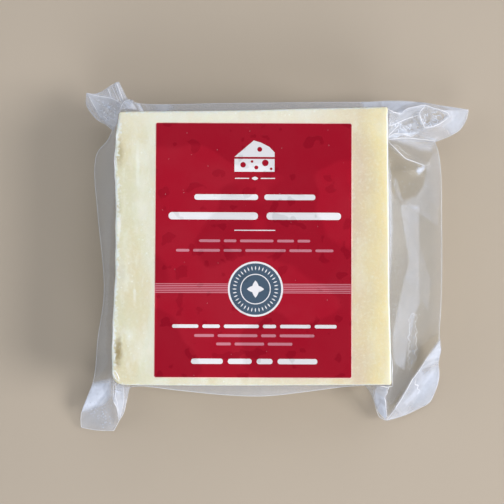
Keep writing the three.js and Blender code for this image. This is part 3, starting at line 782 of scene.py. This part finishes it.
# Radius, line seen from above, which may give its heights too, and its own wobble where it has one
foldLines = {
    "backRight": {
        "ridge": (0.13, [(41.2, 42.6), (43, 42.8), (44.8, 42.8), (46.9, 42.9)]),
        "eyeFar": (0.14, [(46.9, 42.7), (49.2, 44.6), (52.1, 45.4), (54.7, 45.9), (57.3, 45), (60.1, 44.2),
            (62.3, 43.5), (62.7, 42.6)]),
        "eyeNear": (0.15, [(62.7, 42.6), (61.3, 41.2), (58.9, 39.8), (56.5, 39.1), (55.3, 38.9),
            (54.9, 38.9)]),
        "eyeEnd": (0.14, [(54.9, 38.9), (54.7, 39.3), (53.1, 42.4), (52.9, 42.8)]),
        "eyeTop": (0.1, [(52.9, 42.8), (53.3, 43.8), (54.9, 45.6)]),
        "inner": (0.12, [(52.9, 42.7), (48.1, 41.1), (42.5, 38.3)]),
        "gatherA": (0.11, [(42.4, 35.2), (45, 38), (47.5, 40.3)]),
        "gatherB": (0.14, [(42.6, 35), (45, 36.8), (47.9, 36.8), (50.8, 36.2), (52.5, 37.2)]),
        "gatherC": (0.13, [(43.2, 35), (48.8, 35.7), (53.9, 35.5), (58.7, 35)]),
        "gatherD": (0.1, [(47.9, 39.2), (49.6, 37.1)]),
    },
    "right": {
        "crease": (0.1, [(42.4, 35.4), (45.9, 32.2), (48.4, 29.9), (49.2, 29.3), (50.3, 28.9),
            (55.9, 27.3)]),
        "streakTop": (0.07, [(51, -20.9), (51.6, -20.3), (52.4, -20.9), (53, -20.6)], 0.9),
        "streakLeft": (0.06, [(51, -20.9), (50.3, -26), (50.5, -31), (50.2, -35), (50.1, -38.5)], 1.1),
        "streakRight": (0.06, [(53, -20.6), (52.3, -23.4), (52.9, -27), (52.4, -31), (52.2, -35.6)], 1.1),
    },
    "frontRight": {
        "ridge": (0.13, [(43.2, -42.4), (43.3, -43.8), (42.3, -45.2), (41.9, -46.6), (42.5, -49.6),
            (43.1, -53.5)]),
        "pleat": (0.11, [(41, -48.9), (40.3, -51.4), (42.8, -54.3)]),
        "fold": (0.15, [(43.1, -54.4), (47.8, -46.9), (50.9, -41.6), (53.4, -38.4), (57.1, -32.8)]),
        "squiggle": (0.15, [(52.4, -41.4), (52.1, -43), (53.3, -43.4), (53, -44.5), (53.9, -45),
            (53.3, -46.3)]),
        "fin": (0.12, [(41.7, -32, 29.9), (42.1, -36, 29.6), (42, -39, 29.6), (42.3, -41.9, 29.2)]),
        "hem": (0.11, [(38.2, -41.7, 30), (40.2, -42.1, 29.8), (42.3, -41.9, 29.2)]),
    },
    "frontLeft": {
        "ridge": (0.13, [(-43.4, -41.1), (-44, -44.4), (-44, -47.8), (-43.1, -50.5), (-42.8, -54.6)]),
        "inner": (0.09, [(-42.4, -41.7), (-43.3, -46.1), (-42.9, -48.8), (-42.8, -51.9)]),
        "bowOuter": (0.18, [(-41.8, -36.9, 30.1), (-41.7, -38.4, 30.2), (-40.9, -39.7, 30.3),
            (-40, -40.4, 30.4)]),
        "bowInner": (0.16, [(-41.8, -36.9, 30.1), (-41, -37.5, 30.5), (-40.2, -39, 30.5),
            (-40, -40.4, 30.4)]),
        "bowFoot": (0.13, [(-40, -40.4, 30.4), (-41.4, -41.3, 28.5), (-42.4, -42.4, 24),
            (-43.3, -43.6, 15)]),
        "strip": (0.09, [(-40.5, -42.7), (-41.1, -48.6), (-42.5, -53.6)]),
    },
    "leftEdge": {
        "a": (0.1, [(-40.8, 34.6), (-41.1, 33.2), (-40.9, 31.8)]),
        "b": (0.1, [(-41.2, 30.6), (-41.7, 27), (-41.5, 23), (-41.7, 19)]),
        "c": (0.12, [(-41.7, 16), (-41.4, 12.5), (-41.7, 9)]),
        "d": (0.1, [(-41.8, 3), (-41.6, -2), (-41.9, -7)]),
        "e": (0.1, [(-42, -22), (-41.6, -26), (-42, -31)]),
    },
    "backLeft": {
        "ridge": (0.11, [(-40.9, 45.4), (-44.3, 47.3), (-48.2, 48.2), (-52.1, 49.2)]),
        "bend": (0.07, [(-51.9, 48.7), (-50.1, 45.4), (-48.4, 42.3)]),
        "pleatA": (0.09, [(-45.5, 50.4), (-44.3, 47.7)]),
        "pleatB": (0.09, [(-44.2, 51.2), (-41.9, 46.3)]),
        "pleatC": (0.11, [(-43.3, 52), (-41.2, 46.3)]),
        "pleatD": (0.1, [(-42.7, 52.3), (-40.4, 46.5)]),
        "puffA": (0.13, [(-41, 42.4), (-40.9, 43.6), (-40, 45.9), (-38.3, 46.6), (-36, 46.3)]),
        "puffB": (0.11, [(-39.7, 45.8), (-38, 43.8), (-36.3, 42.6)]),
        "puffD": (0.1, [(-38.9, 46.3), (-37.5, 44.6), (-37.6, 42.7)]),
        "puffE": (0.1, [(-37.4, 46.3), (-35.9, 45), (-34.7, 42.6)]),
        "fleckA": (0.17, [(-46, 45.2), (-45.6, 44.2), (-45.9, 43.6)]),
        "fleckB": (0.17, [(-46.6, 43.9), (-47.3, 43.2)]),
        "fleckC": (0.17, [(-47.4, 42.4), (-46.5, 41.9), (-46.4, 41.2)]),
        "fleckD": (0.13, [(-43.9, 44.9), (-43.1, 43.8)]),
        "puffC": (0.12, [(-36.4, 45.7), (-35.2, 44.2), (-34, 42.5)]),
    },
}


# A smooth run of points through a few, about spacing apart
def smoothLine(points, spacing):
    p = np.array([points[0], *points, points[-1]], float)
    run = []
    for a, b, c, d in zip(p, p[1:], p[2:], p[3:]):
        steps = max(2, int(np.linalg.norm(c - b) / spacing))
        t = np.linspace(0, 1, steps, endpoint=False)[:, None]
        run.append(0.5 * (2 * b + (c - a) * t + (2 * a - 5 * b + 4 * c - d) * t ** 2
                          + (3 * b - a - 3 * c + d) * t ** 3))
    return np.concatenate(run + [p[-1:]])


filmSurface = BVHTree.FromPolygons([tuple(v) for v in outerVerts], outerFaces)


def heightOfFilm(x, y):
    hit = filmSurface.ray_cast(Vector((x, y, block["height"] + 5)), Vector((0, 0, -1)))[0]
    return hit.z if hit else None


# A round bead along a run of points, tapered to nothing at its ends unless it closes on itself
def bead(run, radius, closed=False):
    ahead, behind = np.roll(run, -1, axis=0), np.roll(run, 1, axis=0)
    if not closed:
        ahead[-1], behind[0] = run[-1], run[0]
    tangent = (ahead - behind) / np.linalg.norm(ahead - behind, axis=1, keepdims=True)
    side = np.cross(tangent, (0, 0, 1.0))
    side /= np.maximum(np.linalg.norm(side, axis=1, keepdims=True), 1e-6)
    up = np.cross(side, tangent)
    taper = np.ones(len(run)) if closed else np.sin(np.linspace(0.06, np.pi - 0.06, len(run))) ** 0.6
    n = folds["sides"]
    angles = np.linspace(0, 2 * np.pi, n, endpoint=False)
    ring = side[:, None] * np.cos(angles)[:, None] + up[:, None] * np.sin(angles)[:, None]
    verts = (run[:, None] + ring * (radius * taper)[:, None, None]).reshape(-1, 3)
    faces = bands(len(run), n, closed=closed)
    if not closed:
        faces += [tuple(range(n))[::-1], tuple(range(len(verts) - n, len(verts)))]
    return verts, faces


def joined(parts):
    verts, faces, shift = [], [], 0
    for partVerts, partFaces in parts:
        verts.append(np.asarray(partVerts))
        faces += [tuple(shift + v for v in face) for face in partFaces]
        shift += len(partVerts)
    return np.concatenate(verts), faces


beads = [bead(rim, folds["rimRadius"], closed=True)]
for group in foldLines.values():
    for radius, line, *wobble in group.values():
        run = smoothLine(line, folds["spacing"])
        for axis, seed in enumerate(folds["wobbleSeeds"]):
            stray = ripples(run[:, 0], run[:, 1], folds["wobbleSize"], seed)
            run[1:-1, axis] += (wobble[0] if wobble else folds["wobble"]) * stray[1:-1]
        if run.shape[1] == 2:
            heights = [heightOfFilm(x, y) for x, y in run]
            run = np.array([(x, y, z) for (x, y), z in zip(run, heights) if z is not None])
        beads.append(bead(run, radius))
foldVerts, foldFaces = joined(beads)
pinchedFilm = newMaterial("pinchedPouchFilm", clearFilm, folds["colour"])
pinched = newObject("pouch_folds", foldVerts, foldFaces, [pinchedFilm])
rimWhiteAndSheen = np.interp(beads[0][0][:, 1], folds["rimMilkFrom"], folds["rimWhiteAndSheen"])
setShare(pinched, "milkAndSheen", np.append(rimWhiteAndSheen, [folds["milkAndSheen"]] * (len(foldVerts) - len(rimWhiteAndSheen))))
pinched.visible_shadow = False
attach(pinched, "root")
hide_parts("sealed_pouch")

print("film: trapping the bubbles")
bubbles = {
    "groups": [                  # line, spread, count, smallest and largest radius, cloudiness
        ([(51.8, -21), (51.7, -24), (52, -28), (51.4, -36)], 1.1, 22, 0.08, 0.22, 0.5),
        ([(-51, -51), (-46, -55)], 3.2, 60, 0.07, 0.2, 0.65),
        ([(46, -24), (52, 12)], 5.5, 26, 0.07, 0.15, 0.6),
        ([(47, 24), (50, 20)], 4, 26, 0.06, 0.14, 0.85),
    ],
    "rings": 3,
    "around": 10,
    "flatness": 0.12,
    "skirt": 0.015,              # how far the last ring dips into the film
    "seed": 7,
}


def dome(x, y, z, radius):
    rings, around = bubbles["rings"], bubbles["around"]
    verts = [(x, y, z + radius * bubbles["flatness"])]
    for ring in range(1, rings + 1):
        reach = radius * math.sin(ring / rings * math.pi / 2)
        rise = radius * bubbles["flatness"] * math.cos(ring / rings * math.pi / 2)
        rise -= bubbles["skirt"] if ring == rings else 0
        verts += [(*point, z + rise) for point in disc(x, y, reach, around)]
    faces = [(0, 1 + k, 1 + (k + 1) % around) for k in range(around)]
    faces += [face[::-1] for face in bands(rings, around, first=1)]
    faces.append(tuple(range(len(verts) - around, len(verts)))[::-1])
    return verts, faces


def arc(cx, cy, radius, start, end, count):
    return [(cx + radius * math.cos(a), cy + radius * math.sin(a)) for a in np.linspace(start, end, count)]


def disc(cx, cy, radius, count=56):
    return arc(cx, cy, radius, 0, 2 * math.pi, count + 1)[:-1]


draw = np.random.RandomState(bubbles["seed"])
domes, domeMilk = [], []
for line, spread, count, small, large, milkAndSheen in bubbles["groups"]:
    run = smoothLine(line, 0.3)
    for _ in range(count):
        x, y = run[draw.randint(len(run))] + draw.normal(0, spread / 2, 2)
        z = heightOfFilm(x, y)
        if z is not None:
            domes.append(dome(x, y, z, draw.uniform(small, large)))
            domeMilk += [milkAndSheen] * len(domes[-1][0])
trapped = newObject("trapped_bubbles", *joined(domes), [pouchFilm])
setShare(trapped, "milkAndSheen", domeMilk)
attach(trapped, "root")
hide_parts("sealed_pouch")

print("cheese: cutting the block")
cheese = {
    "inset": 0.14,
    "wallRings": 16,
    "zones": [(-42, (222, 216, 188)), (-36, (224, 219, 193)), (-29, (230, 226, 208)),    # from left to right
              (24, (227, 212, 188)), (31, (218, 198, 173)), (35, (224, 207, 170)), (38, (235, 218, 170)),
              (42, (238, 230, 203))],
    "zoneSway": (16, 10),        # size and reach of the waves that bend the zones
    "colours": {"pale": (238, 234, 222), "warm": (226, 210, 174), "crystal": (250, 250, 246),
                "stain": (144, 120, 66), "paleEdgeAndHighlight": (235, 237, 234)},
    "veils": [                   # colour, stretch, size, detail, roughness, where it starts and is full, most
        ("warm", 0.28, 8, 3, 0.5, 0.46, 0.66, 0.5),
        ("pale", 0.5, 6, 4, 0.55, 0.48, 0.68, 0.6),
        ("pale", 0.35, 1.9, 3, 0.5, 0.54, 0.72, 0.4),
        ("pale", 1, 0.8, 3, 0.6, 0.48, 0.7, 0.3),
    ],
    "plainVeils": [1, 2],        # these two fade on the plainer right side, and so do the crystals
    "plainFrom": (12, 34, 1, 0.35),
    "frost": (30, 41, 0, 0.55),  # towards the back edge the cheese turns paler, from here to here
    "frostFade": (12, 36, 1, 0.25),          # and less so on the right
    "marks": [                   # colour, centre, reach, strength
        ("crystal", (-40.2, 6, 30), (0.8, 5.5, 2.5), 0.75),
        ("crystal", (-35.4, -14.6, 30), (0.7, 4.2, 2), 0.4),
        ("crystal", (-34.6, 24, 30), (0.8, 9, 2), 0.35),
        ("crystal", (-36.9, -26.4, 30), (2.6, 3.4, 2), 0.4),
        ("stain", (-40.3, -31.6, 30), (1.7, 6, 2.5), 0.76),
        ("stain", (-40.1, 28.5, 30), (1.6, 5.2, 2.5), 0.42),
        ("stain", (-40.4, 12, 30), (1.2, 6, 3), 0.2),
        ("stain", (-39.4, -8, 30), (1.8, 6, 3), 0.15),
    ],
    "paleEdgeAndHighlight": [(1.0, 1.4), (1.3, 0.8), (1.9, 1.0), (0.8, 0.9)],      # white edges, partly painted highlight, from the right: width, share
    "paleEdgeDepth": (22, 29.5),     # and how far down the walls they fade out
    "paleEdgeBreaks": (-30, 30, 2.6, 0.8),       # how broken they are, from the left to the right
    "paleEdgeFray": (0.9, 4, 0.6),
    "paleEdgeWhite": (0.25, 0.75, 0, 0.9),
    "markFray": (1.5, 4),
    "markEdge": (1.5, 0.6),      # from clear to full
    "crystals": (0.55, (0.2, 0.08)),         # how close the small ones stand, and their edge
    "crystalPatches": ((9, 2), (0.5, 0.6, 0, 0.6)),
    "grain": [(1.2, 5), (5, 3)],
    "grainBump": (0.14, 0.5),    # strength, height
    "scatter": 0.22,
    "scatterRadius": (3.2, 2.2, 1.1),
    "roughness": 0.42,
}


def creamyCheddar(tree):
    place = placeInMm(tree)
    x, y = node(tree, "SeparateXYZ", {0: place}).outputs[:2]
    colours = {name: paint(colour) for name, colour in cheese["colours"].items()}
    swaySize, swayReach = cheese["zoneSway"]
    sway = times(maths("SUBTRACT", noise(place, swaySize, 2), 0.5), swayReach)
    left, right = cheese["zones"][0][0], cheese["zones"][-1][0]
    zones = node(tree, "ValToRGB", {"Fac": ramp(plus(x, sway), left, right, kind="LINEAR")})
    stops = zones.color_ramp.elements
    while len(stops) < len(cheese["zones"]):
        stops.new(0.5)
    for stop, (at, tone) in zip(stops, cheese["zones"]):
        stop.position = (at - left) / (right - left)
        stop.color = paint(tone)
    colour = zones.outputs["Color"]
    plainer = ramp(x, *cheese["plainFrom"])
    for number, (tone, stretch, size, detail, roughness, start, full, most) in enumerate(cheese["veils"]):
        veil = ramp(noise(placeInMm(tree, (1, stretch, 1)), size, detail, roughness), start, full, 0, most)
        veil = times(veil, plainer) if number in cheese["plainVeils"] else veil
        colour = blend(veil, colour, colours[tone])
    frost = times(ramp(plus(y, sway), *cheese["frost"]), ramp(x, *cheese["frostFade"]))
    colour = blend(frost, colour, colours["pale"])
    scale, edge = cheese["crystals"]
    cells = node(tree, "TexVoronoi", {"Vector": place, "Scale": scale}).outputs["Distance"]
    crystals = times(ramp(cells, *edge), lumps(place, *cheese["crystalPatches"]))
    colour = blend(times(crystals, plainer), colour, colours["crystal"])
    for tone, centre, reach, strength in cheese["marks"]:
        away = vectorMaths("DIVIDE", vectorMaths("SUBTRACT", place, centre)[0], reach)[0]
        frayed = plus(vectorMaths("LENGTH", away)["Value"], times(noise(place, *cheese["markFray"]), 0.9))
        colour = blend(ramp(frayed, *cheese["markEdge"], 0, strength), colour, colours[tone])
    # the pale top edges, partly painted highlight, frayed and broken up
    broken = maths("SUBTRACT", noise(place, *cheese["paleEdgeFray"]), 0.5)
    paleEdgeAndHighlight = plus(stored(tree, "paleEdgeAndHighlight"), times(broken, ramp(x, *cheese["paleEdgeBreaks"])))
    colour = blend(ramp(paleEdgeAndHighlight, *cheese["paleEdgeWhite"]), colour, colours["paleEdgeAndHighlight"])
    fine, coarse = (noise(place, *look) for look in cheese["grain"])
    relief = bump(plus(fine, times(coarse, 1.5)), *cheese["grainBump"])
    return node(tree, "BsdfPrincipled", {
        "Base Color": colour, "Roughness": cheese["roughness"], "Normal": relief,
        "Subsurface Weight": cheese["scatter"], "Subsurface Radius": cheese["scatterRadius"],
        "Subsurface Scale": mm}).outputs[0]


# How white each point of the cheese is: most along its top edges, partly the cheese's own pale edge and
# partly painted highlight, most on the right
def paleEdgeAndHighlightShare(verts):
    rings = verts[:-2].reshape(len(places), -1, 3)
    away = np.linalg.norm(rings[..., :2] - outlineAt(places)[:, None], axis=2)
    widths, amounts = np.array(cheese["paleEdgeAndHighlight"])[sideOf(places)].T[..., None]
    share = amounts * (1 - smooth(0, 1, away / widths)) * smooth(*cheese["paleEdgeDepth"], rings[..., 2])
    share *= smooth(0, 0.04, awayFromCorner(places))[:, None]
    return np.append(share.ravel(), [0, 0])


cheddarVerts, cheddarFaces = blockSkin(places, cheese["inset"], cheese["wallRings"])
cheddarPaste = newMaterial("creamyCheddar", creamyCheddar)
cheddar = newObject("cheddar_block", cheddarVerts, cheddarFaces, [cheddarPaste])
setShare(cheddar, "paleEdgeAndHighlight", paleEdgeAndHighlightShare(cheddarVerts))
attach(cheddar, "root")
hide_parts("sealed_pouch")

print("label: printing")
label = {
    "width": 59.5,
    "length": 77.0,
    "cornerRadius": 0.7,
    "turn": math.radians(-0.25),
    "lift": 0.015,
    "thickness": 0.07,
    "grid": 1.2,
    "border": 0.2,                                       # bare paper that shows round the print
    "dents": [(0.03, 8, 21), (0.012, 3.5, 22)],          # height, size, seed
    "inks": {"red": ((156, 3, 32), 0.22), "white": ((224, 222, 226), 0.26), "slate": ((66, 84, 102), 0.25),
             "pink": ((194, 122, 136), 0.25), "paper": ((240, 198, 192), 0.5)},      # colour, roughness
    "clinging": ((34, 2, 0.4), (0.49, 0.52)),            # where the film clings: noise, its start and full
    "blots": ((5, 2, 0.4), (0.6, 0.63)),
    "deep": 0.87,
    "haze": 0.01,
    "hazy": ((16, 4, 0.6), (0.3, 0.7, 0.6, 1.3)),
    "hazeColour": (226, 214, 226),
    "specks": (0.35, (0.04, 0.015, 0, 0.6)),
    "badge": (0.7, -11.8, 8.3),                          # centre and radius
    "emblem": (0.4, 27.2),
    "holes": [(-3.6, -1.5, 0.85), (0.4, -2.3, 0.6), (3.1, -0.9, 1.0), (-0.9, -0.5, 0.4), (1.4, 3.2, 0.75),
              (4.9, -2.7, 0.4)],
    "stripes": (-10.3 - 0.52 * np.arange(6), 0.24),      # heights on the label, thickness
    "ticks": (6.3, np.arange(36) * math.pi / 18),        # of the badge: distance from its centre, headings
    "bars": [                    # stand for words: ink, height on the label, width, thickness, gap, words
        ("white", 15.9, 36.5, 1.7, 1.9, [5, 4]),
        ("white", 10.2, 52.0, 2.2, 2.6, [6, 5]),
        ("pink", 2.7, 33.4, 0.8, 1.1, [5, 3, 8, 4, 3]),
        ("pink", -0.2, 47.4, 0.8, 1.1, [3, 6, 4, 9, 5, 4]),
        ("white", -23.0, 49.4, 1.05, 1.2, [6, 4, 8, 3, 7, 5]),
        ("pink", -25.8, 36.1, 0.85, 1.1, [4, 8, 3, 7]),
        ("pink", -28.3, 22.9, 0.85, 1.1, [3, 6, 5]),
        ("white", -33.5, 37.9, 1.6, 1.5, [4, 3, 2, 5]),
    ],
}


def roundedBar(cx, cy, width, height, radius, steps=5):
    x, y = width / 2 - radius, height / 2 - radius
    return [point for k, (sx, sy) in enumerate(((1, 1), (-1, 1), (-1, -1), (1, -1)))
            for point in arc(cx + sx * x, cy + sy * y, radius, k * math.pi / 2, (k + 1) * math.pi / 2, steps)]


def leaf(cx, cy, length, width, heading):
    cos, sin = math.cos(heading), math.sin(heading)
    lower = [(length * (t - 0.5), -width / 2 * math.sin(math.pi * t) ** 0.8) for t in np.linspace(0, 1, 9)]
    outline = lower + [(x, -y) for x, y in lower[-2:0:-1]]
    return [(cx + x * cos - y * sin, cy + x * sin + y * cos) for x, y in outline]


# A row of bars that stand for words, whose lengths share out the row
def wordBars(ink, y, width, height, gap, words):
    room = (width - gap * (len(words) - 1)) / sum(words)
    bars, x = [], -width / 2
    for word in words:
        bars.append((ink, roundedBar(x + word * room / 2 + 0.4, y, word * room, height, height * 0.45)))
        x += word * room + gap
    return bars


# A wedge of cheese seen from its side and above, over a rule with a lozenge
def emblem(cx, cy):
    top = [(-6.2, 0.9), (5.9, 0.9), (5.9, 2.3), (4.4, 3.9), (1.9, 5.2), (-0.4, 5.9)]
    side = [(-6.2, -3.6), (5.9, -3.6), (5.9, 0.3), (-6.2, 0.3)]
    shapes = [("white", [(cx + x, cy + y) for x, y in outline]) for outline in (top, side)]
    shapes += [("red", disc(cx + x, cy + y, radius, 20)) for x, y, radius in label["holes"]]
    shapes += [("white", roundedBar(cx + mirror * 3.9, cy - 5.6, 4.4, 0.3, 0.12, 2)) for mirror in (1, -1)]
    return shapes + [("white", leaf(cx, cy - 5.6, 2.0, 1.0, 0))]


# Everything on the label from its paper up: ink and outline
def printedShapes():
    width, length, border, corner = (label[key] for key in ("width", "length", "border", "cornerRadius"))
    bx, by, badge = label["badge"]
    ring, headings = label["ticks"]
    shapes = [("paper", roundedBar(0, 0, width, length, corner, 6)),
              ("red", roundedBar(0, 0, width - 2 * border, length - 2 * border, corner - border, 6))]
    shapes += [("pink", roundedBar(0, y, width - 2 * border - 0.02, label["stripes"][1], 0.1, 2))
               for y in label["stripes"][0]]
    shapes += [("white", disc(bx, by, badge)), ("slate", disc(bx, by, badge - 0.55))]
    for angle in headings:
        x, y = bx + ring * math.cos(angle), by + ring * math.sin(angle)
        shapes.append(("white", leaf(x, y, 1.3, 0.34, angle)))
    shapes += [("white", disc(bx, by, 4.6)), ("slate", disc(bx, by, 4.3))]
    shapes += [("white", leaf(bx, by, 5.2, 2.2, math.pi / 2 * k)) for k in range(2)]
    shapes += emblem(*label["emblem"]) + [("white", roundedBar(0.4, 5.9, 12.4, 0.3, 0.12, 2))]
    for bars in label["bars"]:
        shapes += wordBars(*bars)
    return shapes


def inkNumber(ink):
    return list(label["inks"]).index(ink)


# The face of the label, cut along every printed outline, with a grid of points for its dents
def labelFace():
    shapes = printedShapes()
    verts, loops = [], []
    for _, outline in shapes:
        loops.append(list(range(len(verts), len(verts) + len(outline))))
        verts += [Vector(point) for point in outline]
    step = label["grid"]
    columns, rows = (np.arange(step - reach, reach - step / 2, step)
                     for reach in (label["width"] / 2, label["length"] / 2))
    verts += [Vector((float(x), float(y))) for x in columns for y in rows]
    points, _, faces, _, _, origins = delaunay_2d_cdt(verts, [], loops, 1, 1e-5)
    inked = [inkNumber(shapes[max(origin)][0]) for origin in origins]
    return np.array([tuple(p) for p in points]), faces, inked


def labelSheet():
    flat, faces, inked = labelFace()
    centre = (labelLow + labelHigh) / 2
    cos, sin = math.cos(label["turn"]), math.sin(label["turn"])
    x = centre[0] + flat[:, 0] * cos - flat[:, 1] * sin
    y = centre[1] + flat[:, 0] * sin + flat[:, 1] * cos
    base = block["height"] + label["lift"] + topDip(x, y)
    dents = sum(height * ripples(x, y, size, seed) for height, size, seed in label["dents"])
    top = base + label["thickness"] + dents
    verts = np.concatenate([np.stack([x, y, top], axis=1), np.stack([x, y, base], axis=1)])
    directed = {(a, b) for face in faces for a, b in zip(face, face[1:] + face[:1])}
    border = sorted((a, b) for a, b in directed if (b, a) not in directed)
    count = len(flat)
    hidden = [[count + v for v in reversed(face)] for face in faces]
    hidden += [[b, a, count + a, count + b] for a, b in border]
    return verts, faces + hidden, inked + [inkNumber("paper")] * len(hidden)


# Ink under film that clings in some patches, which are deeper, and lies loose in others, which are hazy
def printedPaper(tree, colour, roughness):
    place = placeInMm(tree)
    large = lumps(placeInMm(tree, (1, 1.3, 1)), *label["clinging"])
    blots = lumps(place, *label["blots"])
    clinging = plus(times(large, 0.5), times(blots, 0.5))
    hazy = times(lumps(place, *label["hazy"]), maths("SUBTRACT", 1.0, times(clinging, 0.75)))
    tone = blend(clinging, paint(colour), paint([c * label["deep"] for c in colour]))
    tone = blend(times(hazy, label["haze"]), tone, paint(label["hazeColour"]))
    scale, edge = label["specks"]
    specks = node(tree, "TexVoronoi", {"Vector": place, "Scale": scale}).outputs["Distance"]
    tone = blend(ramp(specks, *edge), tone, paint(label["hazeColour"]))
    relief = bump(blots, 0.3, 0.1, Normal=bump(noise(place, 1.1, 3), 0.08, 0.2))
    return node(tree, "BsdfPrincipled", {"Base Color": tone, "Roughness": roughness, "Normal": relief,
                                         "Specular IOR Level": 0.4}).outputs[0]


inks = [newMaterial("label" + ink.capitalize(), printedPaper, *look) for ink, look in label["inks"].items()]
labelVerts, labelFaces, labelInks = labelSheet()
printedLabel = newObject("printed_label", labelVerts, labelFaces, inks, labelInks)
printedLabel.visible_shadow = False          # it lies flush, and a shadow would grey the cheese beside it
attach(printedLabel, "root")
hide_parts("label")

print("stage: floor, lights and camera")
stage = {
    "floorSize": 4000,
    "floorDrop": 0.2,
    "floorColour": (176, 164, 150),
    "lights": {                  # turn about the block, rise over the floor, distance, size, power, colour
        "keyLight": (-7, 38, 1.2, 0.5, 11, (1, 0.985, 0.96)),
        "frontLight": (-78, 40, 1.3, 0.9, 7.5, (0.96, 0.98, 1)),
        "backLight": (75, 50, 1.3, 0.8, 3, (0.96, 0.98, 1)),
        "windowLight": (15, 16, 1.3, 0.6, 1.2, (0.96, 0.98, 1)),
        "fillLight": (170, 35, 1.3, 0.9, 4.5, (0.92, 0.96, 1)),
    },
    "mirrored": ["windowLight"],             # the others in the film would turn each ripple white
    "zenith": (0.1, 0.105, 0.11),
    "horizon": (0.7, 0.73, 0.79),
}
camera = {
    "lookAt": (-0.1, -1.54, block["height"]),
    "distance": 360,
    "tilt": 2.3,                 # degrees off straight down, from the front
    "lens": 85.4,
}


def paleFloor(tree):
    tone = ramp(noise(placeInMm(tree), 90), 0, 1, 0.97, 1.03, "LINEAR")
    tinted = {0: paint(stage["floorColour"])[:3], 3: tone}
    colour = node(tree, "VectorMath", tinted, operation="SCALE").outputs[0]
    return node(tree, "BsdfPrincipled", {"Base Color": colour, "Roughness": 0.9,
                                         "Specular IOR Level": 0.15}).outputs[0]


half = stage["floorSize"] / 2
floorCorners = [(-half, -half, 0), (half, -half, 0), (half, half, 0), (-half, half, 0)]
floor = newObject("floor", floorCorners, [(0, 1, 2, 3)], [newMaterial("paleFloor", paleFloor)])
floor.location.z = -stage["floorDrop"] * mm


# A round soft light that looks at the block
def softLight(name, turn, rise, distance, size, power, colour):
    lamp = bpy.data.lights.new(name, "AREA")
    lamp.shape = "DISK"
    lamp.size = size
    lamp.energy = power
    lamp.color = colour
    turn, rise = math.radians(turn), math.radians(rise)
    at = Vector((math.cos(turn) * math.cos(rise), math.sin(turn) * math.cos(rise), math.sin(rise))) * distance
    holder = bpy.data.objects.new(name, lamp)
    holder.location = at
    holder.rotation_euler = (-at).to_track_quat("-Z", "Y").to_euler()
    holder.visible_glossy = name in stage["mirrored"]
    bpy.context.scene.collection.objects.link(holder)


for name, look in stage["lights"].items():
    softLight(name, *look)

world = bpy.data.worlds.new("studio")
world.use_nodes = True
sky = world.node_tree
sky.nodes.clear()
upward = node(sky, "SeparateXYZ", {0: node(sky, "TexCoord").outputs["Generated"]}).outputs["Z"]
skyColour = blend(ramp(upward, 0.05, 0.8), (*stage["horizon"], 1), (*stage["zenith"], 1))
background = node(sky, "Background", {"Color": skyColour, "Strength": 1.0}).outputs[0]
node(sky, "OutputWorld", {"Surface": background})
bpy.context.scene.world = world

tilt = math.radians(camera["tilt"])
viewer = bpy.data.cameras.new("photoCamera")
viewer.lens = camera["lens"]
viewer.clip_start = 0.01
viewerObject = bpy.data.objects.new("photoCamera", viewer)
backward = Vector((0, -math.sin(tilt), math.cos(tilt)))
viewerObject.location = (Vector(camera["lookAt"]) + backward * camera["distance"]) * mm
viewerObject.rotation_euler = (tilt, 0, 0)
bpy.context.scene.collection.objects.link(viewerObject)
bpy.context.scene.camera = viewerObject
bpy.context.scene.view_settings.view_transform = "Standard"
